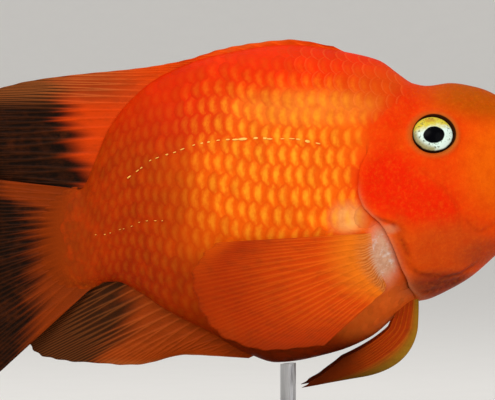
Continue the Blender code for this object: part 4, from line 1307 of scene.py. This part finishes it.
def build_lateral_line(scene):
    """Pores of the lateral line: small capsules of uneven length, laid on the scales along each run.

    A capsule is rings of a long ellipse round the run's direction, longest at the middle of the flank.
    """
    spread = np.random.default_rng(11)
    turns = full_turn(PORE_COLUMNS)[None, :]
    rise = np.linspace(-0.5, 0.5, PORE_RINGS)[1:-1, None] * math.pi
    shape = np.stack(
        [np.sin(rise) + 0 * turns, np.cos(rise) * np.cos(turns), np.cos(rise) * np.sin(turns)], axis=-1)
    shape = np.concatenate([shape.reshape(-1, 3), [[-1.0, 0.0, 0.0], [1.0, 0.0, 0.0]]])
    bodies = []
    for line, pitch, size in LATERAL_RUNS:
        curve = through(line, np.linspace(0.0, 1.0, 400))
        distance = np.concatenate([[0.0], np.cumsum(np.linalg.norm(np.diff(curve, axis=0), axis=1))])
        stops = np.arange(0.6, distance[-1], pitch)
        stops = stops + spread.uniform(-0.8, 0.8, len(stops))
        x = np.interp(stops, distance, curve[:, 0])
        z = np.interp(stops, distance, curve[:, 1]) + spread.normal(0.0, 0.14, len(stops))
        ahead_x, ahead_z = x + np.gradient(x) * 0.1, z + np.gradient(z) * 0.1
        base, outward, _ = skin_frame(x, turn_at(x, z))
        level = unit(skin_points(ahead_x, turn_at(ahead_x, ahead_z)) - base)
        upright = unit(np.cross(outward, level))
        bold = 0.6 + 0.6 * hump(x + 11.0, 7.0) + 0.6 * hump(x - 8.0, 4.0)
        long = size * np.clip(1.1 * bold * spread.uniform(0.6, 1.3, len(x)), 0.5, 1.6)
        wide = size * 0.36 * bold * spread.uniform(0.7, 1.25, len(x))
        reaches = np.stack([long, wide, 0.2 + 0 * long], axis=-1)[:, None, :] * shape
        axes = np.stack([level, upright, outward], axis=1)
        bodies.append((base + outward * 0.02)[:, None, :] + np.einsum("nki,nij->nkj", reaches, axes))
    bodies = np.concatenate(bodies)
    shifts = np.arange(len(bodies))[:, None, None] * len(shape)
    capsule = tube_faces(len(rise), PORE_COLUMNS)
    faces = [(group[None] + shifts).reshape(-1, group.shape[1]) for group in capsule]
    finish = pore_finish(palette(scene))
    for side, word in SIDES:
        placed = on_side(bodies.reshape(-1, 3), side)
        made = lay_mesh(f"lateral_line_{word}", bend(placed), outward_faces(placed, faces), finish)
        as_piece(made, "body_skin")


# ---- Fins


RAY_COLUMNS = 16
# Pectoral fins: gaps and teeth of the comb at their root, and how much darker each channel gets outwards.
COMB_DARK = (0.44, 0.09, 0.01)
COMB_PALE = (0.68, 0.24, 0.06)
OUTER_SHADE = (0.42, 0.6, 0.6)


def ray_relief(phase, grow, forks):
    """Height share of the rays: a bell over each, parting in two and then in four towards the edge."""
    first = 0.25 * ramp(grow, 0.10, 0.45) * forks
    second = 0.125 * ramp(grow, 0.42, 0.38) * forks
    width = 0.13 - 0.07 * ease(grow * 1.3) * forks
    apart = np.abs(np.abs(phase - np.round(phase)) - first)
    return hump(np.abs(apart - second), width)


def fin_grid(rays, rows, seed, notch=None):
    """Phase, growth and reach over a fin: each ray ends a little apart, the membrane in a scallop."""
    phase = np.linspace(0.0, rays - 1.0, (rays - 1) * RAY_COLUMNS + 1)[:, None]
    grow = np.linspace(0.0, 1.0, rows)[None, :]
    ends = np.random.default_rng(seed).normal(0.0, 0.008, rays)
    ragged = np.interp(phase, np.arange(rays), ends)
    hollow = np.sin(math.pi * (phase % 1.0)) ** 2
    depth = SCALLOP if notch is None else notch(phase / (rays - 1))
    return phase, grow, grow * (1 - depth * hollow + ragged)


def fin_thickness(sizes, ridge, grow):
    """Half the fin's thickness: membrane and rays, thicker where both rise from the fleshy root."""
    ray = (sizes.ray_root + (sizes.ray_tip - sizes.ray_root) * grow) / MM
    membrane = sizes.membrane / MM * (1 - 0.35 * grow)
    sheet = membrane + (ray - membrane) * ridge
    root = np.clip(1 - grow / 0.10, 0.0, 1.0) ** 1.5
    return (sheet + (sizes.fin_root / MM - sheet) * root) / 2


def fin_tints(scene, root, ridge, out, tan):
    """Colours of a fin in the body's plane: its root's colour inside, dusky membrane and rays outwards.

    out is the distance in millimetres past the line where the dusk begins; the rays keep their colour longer.
    tan is the share of the margin's colour.
    """
    group = scene.fin_colours
    root = np.array(root)
    sheet = blend(root * 0.85, group.membrane, ramp(out, 0.0, 11.0))
    bone = blend(root, group.ray, ramp(out, 1.5, 13.0))
    return blend(blend(sheet, bone, 0.9 * ridge), group.margin, tan)


def dorsal_dusk(x, z):
    """Distance past the line where the dorsal fin's dusk begins."""
    return -59.0 - x - 0.3 * (z - 64.0)


def anal_dusk(x, z):
    """Distance past the line where the anal fin's dusk begins."""
    return -44.0 - x - 10.0 * (1 - ramp(z, 1.0, 12.0))


def tail_dusk(x, z):
    """Distance past the line where the tail fan's dusk begins."""
    return -75.5 - x - 14.0 * ramp(z, 50.0, 8.0)


def uneven(phase):
    """How much later or earlier the dusk begins on each ray."""
    return 1.6 * np.sin(phase * 2.3) + 1.1 * np.sin(phase * 5.9)


def dorsal_notch(share):
    """Depth of the dorsal fin's scallops: deep between the spines in front, slight behind."""
    return DORSAL_NOTCH * (1 - ramp(share, 0.3, 0.25)) + SCALLOP


def median_fin(scene, name, base, tips, grid, aside, root, dusk, finish, forks=1.0, tan=0.0):
    """Fin in the fish's own plane: rays straight from base to tip, ridged on both faces."""
    phase, grow, reach = grid
    ridge = ray_relief(phase, grow, forks)
    place = on_rays(base, tips, reach)
    x, z = place[..., 0], place[..., 1]
    half = fin_thickness(scene.fish_sizes, ridge, grow)
    y = aside * reach**2 + 0.5 * np.sin(phase * 0.9 + grow * 4.0) * grow**2
    outer, inner = (np.stack([x, face, z], axis=-1) for face in (y + half, y - half))
    out = dusk(x, z) + uneven(phase)
    thin = 0.6 * ramp(grow, 0.82, 0.18) * (1 - ramp(out, 0.0, 10.0))
    tint = fin_tints(scene, root, ridge, out, np.maximum(thin, tan * (0.25 + 0.75 * ridge)))
    tint = tint * (1 - 0.5 * tan * (1 - ridge))[..., None]
    lay_fin(name, outer, inner, tint, phase, grow, tips - base, "fin_membrane", finish)


def lay_fin(name, outer, inner, tint, phase, grow, rays, slot, finish):
    """Closed sheet of a fin with its colours and its map of ray number and distance along the ray."""
    points = np.concatenate([outer.reshape(-1, 3), inner.reshape(-1, 3)])
    faces = outward_faces(points, sheet_faces(*outer.shape[:2]))
    distance = np.linalg.norm(rays, axis=-1).reshape(-1, 1) * grow
    chart = np.stack([phase + 0 * grow, distance], axis=-1)
    made = lay_mesh(name, bend(points), faces, finish, {"tint": np.stack([tint] * 2)},
                    {"ribs": np.stack([chart] * 2)})
    as_piece(made, slot, name.replace("rays", "fin"))


def outline_root(line, places, shares, way):
    """x along a fin's root and its root line, sunk a little under the back or belly line."""
    x = through([(place,) for place in places], shares)[:, 0]
    step = 0.2
    slope = (follow(line, x + step) - follow(line, x - step)) / (2 * step)
    outward = unit(np.stack([-slope, np.ones_like(slope)], axis=-1) * way)
    return x, np.stack([x, follow(line, x)], axis=-1) - outward * FIN_SINK


def build_dorsal_fin(scene, finish):
    """Long fin along the back: low folded spines in front, a soft swept fan behind."""
    grid = fin_grid(DORSAL_RAYS, 44, 3, dorsal_notch)
    shares = grid[0] / (DORSAL_RAYS - 1)
    x, base = outline_root(BACK_LINE, DORSAL_BASE_X, shares[:, 0], 1)
    tips = through(DORSAL_TIPS, shares[:, 0])
    aside = 3.0 * np.clip(shares - 0.4, 0.0, 1.0)
    forks = ramp(shares, 0.35, 0.3)
    colours = scene.fin_colours
    root = blend(np.array(colours.root), colours.crest, ramp(x, -50.0, 25.0)[:, None])
    spot = on_rays(base, tips, grid[1])
    tan = 0.85 * ramp(spot[..., 1], 83.0, 8.0) * ramp(spot[..., 0], -40.0, -24.0)
    median_fin(scene, "dorsal_rays", base, tips, grid, aside, root, dorsal_dusk, finish, forks, tan)


def build_anal_fin(scene, finish):
    """Fin under the tail, swept back beside the fan's lower lobe."""
    grid = fin_grid(ANAL_RAYS, 44, 4)
    shares = grid[0] / (ANAL_RAYS - 1)
    _, base = outline_root(BELLY_LINE, ANAL_BASE_X, shares[:, 0], -1)
    tips = through(ANAL_TIPS, shares[:, 0])
    tan = 0.28 * ramp(shares, 0.2, 0.4) + 0 * grid[2]
    median_fin(scene, "anal_rays", base, tips, grid, 5.5 * shares, scene.fin_colours.low_root,
               anal_dusk, finish, tan=tan)


def build_tail_fan(scene, finish):
    """Tail fan, a wide triangle whose rays leave the rounded end of the stalk."""
    grid = fin_grid(FAN_RAYS, 52, 5)
    shares = grid[0] / (FAN_RAYS - 1)
    share = FAN_SPAN * (1 - 2 * shares[:, 0])
    x = edge_x(FAN_EDGE, share)
    base = np.stack([x + FAN_SINK, height_at(share, section(x))], axis=-1)
    aside = -3.0 * np.abs(2 * shares - 1) ** 2
    median_fin(scene, "tail_rays", base, through(FAN_TIPS, shares[:, 0]), grid, aside,
               scene.fish_colours.tail_root, tail_dusk, finish)


def pectoral_tints(scene, grid, ridge, x, z):
    """Colours of the side fins: a silvery seam, a comb of teeth and a bright band, then darker outwards.

    Along the outer edge some of the flank's own colour shows.
    """
    colours, group = palette(scene), scene.fin_colours
    phase, grow, reach = grid
    shares = phase / (PECTORAL_RAYS - 1)
    sheet = blend(np.array(group.side_membrane), group.side_ray, 0.55 * ridge)
    tint = blend(sheet, group.side_root, 0.8 * (1 - ramp(grow, 0.12, 0.24)) + 0 * phase)
    low = ramp(shares, 0.1, 0.3)
    comb = ramp(grow, 0.0, 0.03) * (1 - ramp(grow, 0.07, 0.08)) * (0.4 + 0.6 * low)
    fringe = 0.5 - 0.5 * np.cos(4 * math.pi * phase + 2.0 * np.sin(grow * 60.0) + 1.5 * np.sin(phase * 3.1))
    tint = blend(tint, blend(np.array(COMB_DARK), COMB_PALE, fringe), 0.75 * comb)
    silver = (1 - ramp(grow, 0.02 * fringe, 0.05)) * (0.25 + 0.75 * low) * (1 - ramp(shares, 0.72, 0.2))
    tint = blend(tint, colours["silver"], 0.9 * silver)
    tint = tint * (1 - np.array(OUTER_SHADE) * ramp(reach, 0.3, 0.6)[..., None])
    return blend(tint, markings(x, z, colours) * 0.85, 0.55 * ramp(reach, 0.82, 0.18))


def build_pectoral_fins(scene, finish):
    """Side fins that lie back along the flank, a little flatter than the belly behind them."""
    grid = phase, grow, reach = fin_grid(PECTORAL_RAYS, 60, 6)
    shares = phase[:, 0] / (PECTORAL_RAYS - 1)
    base, tips = through(PECTORAL_BASE, shares), through(PECTORAL_TIPS, shares)
    place = on_rays(base, tips, reach)
    x, z = place[..., 0], place[..., 1]
    flatter = z + (PECTORAL_LEVEL - z) * PECTORAL_FLATTEN * np.clip(reach * 4, 0.0, 1.0)
    skin = np.stack([x, flank(x, flatter), z], axis=-1)
    normal = grid_normals(skin)
    normal = normal * np.sign(normal[..., 1:2])
    ridge = ray_relief(phase, grow, 1.0)
    half = np.minimum(fin_thickness(scene.fish_sizes, 0.4 * ridge, grow), 0.45) * (1 - 0.3 * grow)
    lift = -PECTORAL_SINK + PECTORAL_LIFT * ramp(grow, 0.0, 0.14) + half + PECTORAL_FLARE * reach**1.3
    lift = lift + 0.3 * np.sin(phase * 0.8) * grow**1.5
    middle = skin + normal * lift[..., None]
    tint = pectoral_tints(scene, grid, ridge, x, z)
    for side, word in SIDES:
        outer, inner = (on_side(middle + normal * way[..., None], side) for way in (half, -half))
        lay_fin(f"pectoral_rays_{word}", outer, inner, tint, phase, grow, tips - base, "paired_fin", finish)


def build_pelvic_fins(scene, finish):
    """Paired fins under the throat, whose rays turn back from a root on the belly."""
    group = scene.fin_colours
    phase, grow, reach = fin_grid(PELVIC_RAYS, 54, 8)
    shares = phase / (PELVIC_RAYS - 1)
    root, elbow, tip = (
        through(points, shares[:, 0])[:, None, :] for points in (PELVIC_ROOTS, PELVIC_ELBOWS, PELVIC_TIPS))
    step = reach[..., None]
    place = root * (1 - step) ** 2 + 2 * elbow * step * (1 - step) + tip * step**2
    x, z = place[..., 0], place[..., 1]
    near, far = PELVIC_SPREAD
    aside = near + (far - near) * reach + PELVIC_FAN * shares
    ridge = ray_relief(phase, grow, ramp(shares, 0.1, 0.15))
    half = fin_thickness(scene.fish_sizes, ridge, grow)
    rooted = np.clip(1 - reach * 5, 0.0, 1.0)
    tint = blend(np.array(group.side_membrane) * 0.75, np.array(group.side_ray) * 0.8, 0.8 * ridge)
    tint = blend(tint, group.front_edge, 0.9 * (1 - ramp(shares, 0.02, 0.3) + 0 * grow))
    tint = tint * (0.85 - 0.6 * ramp(reach, 0.4, 0.55))[..., None]
    for side, word in SIDES:
        outer, inner = (
            np.stack([x, side * y, z + (underside(x, y) + FIN_SINK - z) * rooted], axis=-1)
            for y in (aside + half, aside - half))
        lay_fin(f"pelvic_rays_{word}", outer, inner, tint, phase, grow, (tip - root)[:, 0], "paired_fin",
                finish)


# ---- Stage


# Lights: name of the light and of its power's setting, place, width, tint.
LIGHTS = (
    ("key", (-0.45, -1.15, 0.95), 0.9, (1.0, 0.98, 0.95)),
    ("fill", (0.9, -1.0, 0.35), 0.9, (0.97, 0.98, 1.0)),
    ("top", (0.0, 0.15, 1.2), 1.0, (1.0, 1.0, 1.0)),
)
LIGHT_AIM = (-0.01, 0.0, 0.08)
SKY_TINT = (1.0, 0.99, 0.98, 1.0)
FLOOR_COLUMNS = 128
FLOOR_REACH = 4.0
FLOOR_BOW = 1.6
FLOOR_DROP = 0.0002
SENSOR_WIDTH = 36.0


def build_floor(scene):
    """Round floor whose rim curves up into a low wall: a line and a quarter circle turned about Z."""
    bow = np.linspace(0.0, math.pi / 2, 40)
    reach = np.concatenate([[0.05, 1.0, 2.5], FLOOR_REACH + FLOOR_BOW * np.sin(bow)])
    rise = np.concatenate([[0.0, 0.0, 0.0], FLOOR_BOW * (1 - np.cos(bow))])
    swing = full_turn(FLOOR_COLUMNS)
    ring = np.stack([np.cos(swing), np.sin(swing), 0 * swing], axis=-1)
    grid = reach[:, None, None] * ring[None] + rise[:, None, None] * np.array([0.0, 0.0, 1.0])
    points = np.concatenate([grid.reshape(-1, 3), [[0.0, 0.0, 0.0]]]) - np.array([0.0, 0.0, FLOOR_DROP])
    step = np.arange(len(swing))
    hub = np.stack([np.full(len(swing), len(points) - 1), step, (step + 1) % len(swing)], axis=-1)
    walls = grid_faces(len(reach), len(swing), wrap=True)[:, ::-1]
    finish = floor_finish(np.array(scene.fish_stage.floor))
    made = lay_mesh("floor", points / MM, [walls, hub], finish)


def build_lights(scene):
    """Large key light over the camera, a fill from the nose's side and a soft light from above.

    Each is a round soft light that faces one point of the fish.
    """
    for name, place, width, tint in LIGHTS:
        data = bpy.data.lights.new(name, "AREA")
        data.shape = "DISK"
        data.size = width
        data.energy = getattr(scene.fish_stage, name)
        data.color = tint
        made = bpy.data.objects.new(name, data)
        made.location = place
        made.rotation_euler = (Vector(LIGHT_AIM) - Vector(place)).to_track_quat("-Z", "Y").to_euler()
        bpy.context.scene.collection.objects.link(made)
    world = bpy.data.worlds.new("studio")
    scene.world = world
    world.use_nodes = True
    background = world.node_tree.nodes["Background"]
    background.inputs["Color"].default_value = SKY_TINT
    background.inputs["Strength"].default_value = scene.fish_stage.sky


def build_camera(scene):
    """Level camera square to the fish's side."""
    stage = scene.fish_stage
    data = bpy.data.cameras.new("camera")
    data.sensor_width = SENSOR_WIDTH
    data.lens = data.sensor_width * stage.distance / stage.view_width
    data.clip_start = 0.05
    data.clip_end = 20.0
    made = bpy.data.objects.new("camera", data)
    made.location = (stage.aim_x, -stage.distance, stage.aim_z)
    made.rotation_euler = (math.pi / 2, 0.0, 0.0)
    scene.collection.objects.link(made)
    scene.camera = made


def dress_stand():
    """Give the stand's solids their lacquer and brushed steel."""
    finishes = {"stand_base": black_finish(), "stand_rod": steel_finish()}
    finishes["stand_collar"] = finishes["stand_rod"]
    for node, material in finishes.items():
        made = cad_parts[node]
        made.data.materials.clear()
        made.data.materials.append(material)


# ---- Add-on


class FISH_OT_skin(bpy.types.Operator):
    """Lay one skin over the head, gill covers, trunk and tail stalk"""
    bl_idname = "fish.skin"
    bl_label = "Skin"

    def execute(self, context):
        build_skin(context.scene)
        return {"FINISHED"}


class FISH_OT_eyes(bpy.types.Operator):
    """Set both eyes in their orbits"""
    bl_idname = "fish.eyes"
    bl_label = "Eyes"

    def execute(self, context):
        build_eyes(context.scene)
        return {"FINISHED"}


class FISH_OT_scales(bpy.types.Operator):
    """Cover the trunk and tail stalk with scales"""
    bl_idname = "fish.scales"
    bl_label = "Scales"

    def execute(self, context):
        build_scales(context.scene)
        return {"FINISHED"}


class FISH_OT_lateral_line(bpy.types.Operator):
    """Lay the pores of the lateral line on the scales"""
    bl_idname = "fish.lateral_line"
    bl_label = "Lateral line"

    def execute(self, context):
        build_lateral_line(context.scene)
        return {"FINISHED"}


class FISH_OT_middle_fins(bpy.types.Operator):
    """Build the dorsal, anal and tail fins"""
    bl_idname = "fish.middle_fins"
    bl_label = "Dorsal, anal and tail fins"

    def execute(self, context):
        finish = fin_finish("dusky_fin", 1.1)
        build_dorsal_fin(context.scene, finish)
        build_anal_fin(context.scene, finish)
        build_tail_fan(context.scene, finish)
        return {"FINISHED"}


class FISH_OT_paired_fins(bpy.types.Operator):
    """Build the pectoral and pelvic fins"""
    bl_idname = "fish.paired_fins"
    bl_label = "Pectoral and pelvic fins"

    def execute(self, context):
        finish = fin_finish("orange_fin", 0.9)
        build_pectoral_fins(context.scene, finish)
        build_pelvic_fins(context.scene, finish)
        return {"FINISHED"}


class FISH_OT_stand(bpy.types.Operator):
    """Finish the display base, rod and collar"""
    bl_idname = "fish.stand"
    bl_label = "Stand"

    def execute(self, context):
        dress_stand()
        return {"FINISHED"}


class FISH_OT_stage(bpy.types.Operator):
    """Set the floor, lights and camera"""
    bl_idname = "fish.stage"
    bl_label = "Stage"

    def execute(self, context):
        build_floor(context.scene)
        build_lights(context.scene)
        build_camera(context.scene)
        context.scene.view_settings.view_transform = "Standard"
        return {"FINISHED"}


OPERATORS = (
    FISH_OT_skin, FISH_OT_eyes, FISH_OT_scales, FISH_OT_lateral_line, FISH_OT_middle_fins,
    FISH_OT_paired_fins, FISH_OT_stand, FISH_OT_stage,
)


class FISH_PT_build(bpy.types.Panel):
    """Pieces of the fish and their settings"""
    bl_idname = "FISH_PT_build"
    bl_label = "Blood parrot cichlid"
    bl_space_type = "VIEW_3D"
    bl_region_type = "UI"
    bl_category = "Cichlid"

    def draw(self, context):
        for operator in OPERATORS:
            self.layout.operator(operator.bl_idname)
        for name, group in GROUPS.items():
            box = self.layout.box()
            for word in group.__annotations__:
                box.prop(getattr(context.scene, name), word)


GROUPS = {
    "fish_colours": FishColours,
    "fin_colours": FinColours,
    "fish_sizes": FishSizes,
    "fish_stage": StageSettings,
}


def register():
    """Register the settings, the operators and the panel."""
    for name, group in GROUPS.items():
        bpy.utils.register_class(group)
        setattr(bpy.types.Scene, name, bpy.props.PointerProperty(type=group))
    for operator in (*OPERATORS, FISH_PT_build):
        bpy.utils.register_class(operator)


def unregister():
    """Undo register, in reverse."""
    for operator in reversed((*OPERATORS, FISH_PT_build)):
        bpy.utils.unregister_class(operator)
    for name, group in reversed(GROUPS.items()):
        delattr(bpy.types.Scene, name)
        bpy.utils.unregister_class(group)


def main():
    """Build every piece."""
    register()
    for operator in OPERATORS:
        family, word = operator.bl_idname.split(".")
        getattr(getattr(bpy.ops, family), word)()


if __name__ == "__main__":
    main()
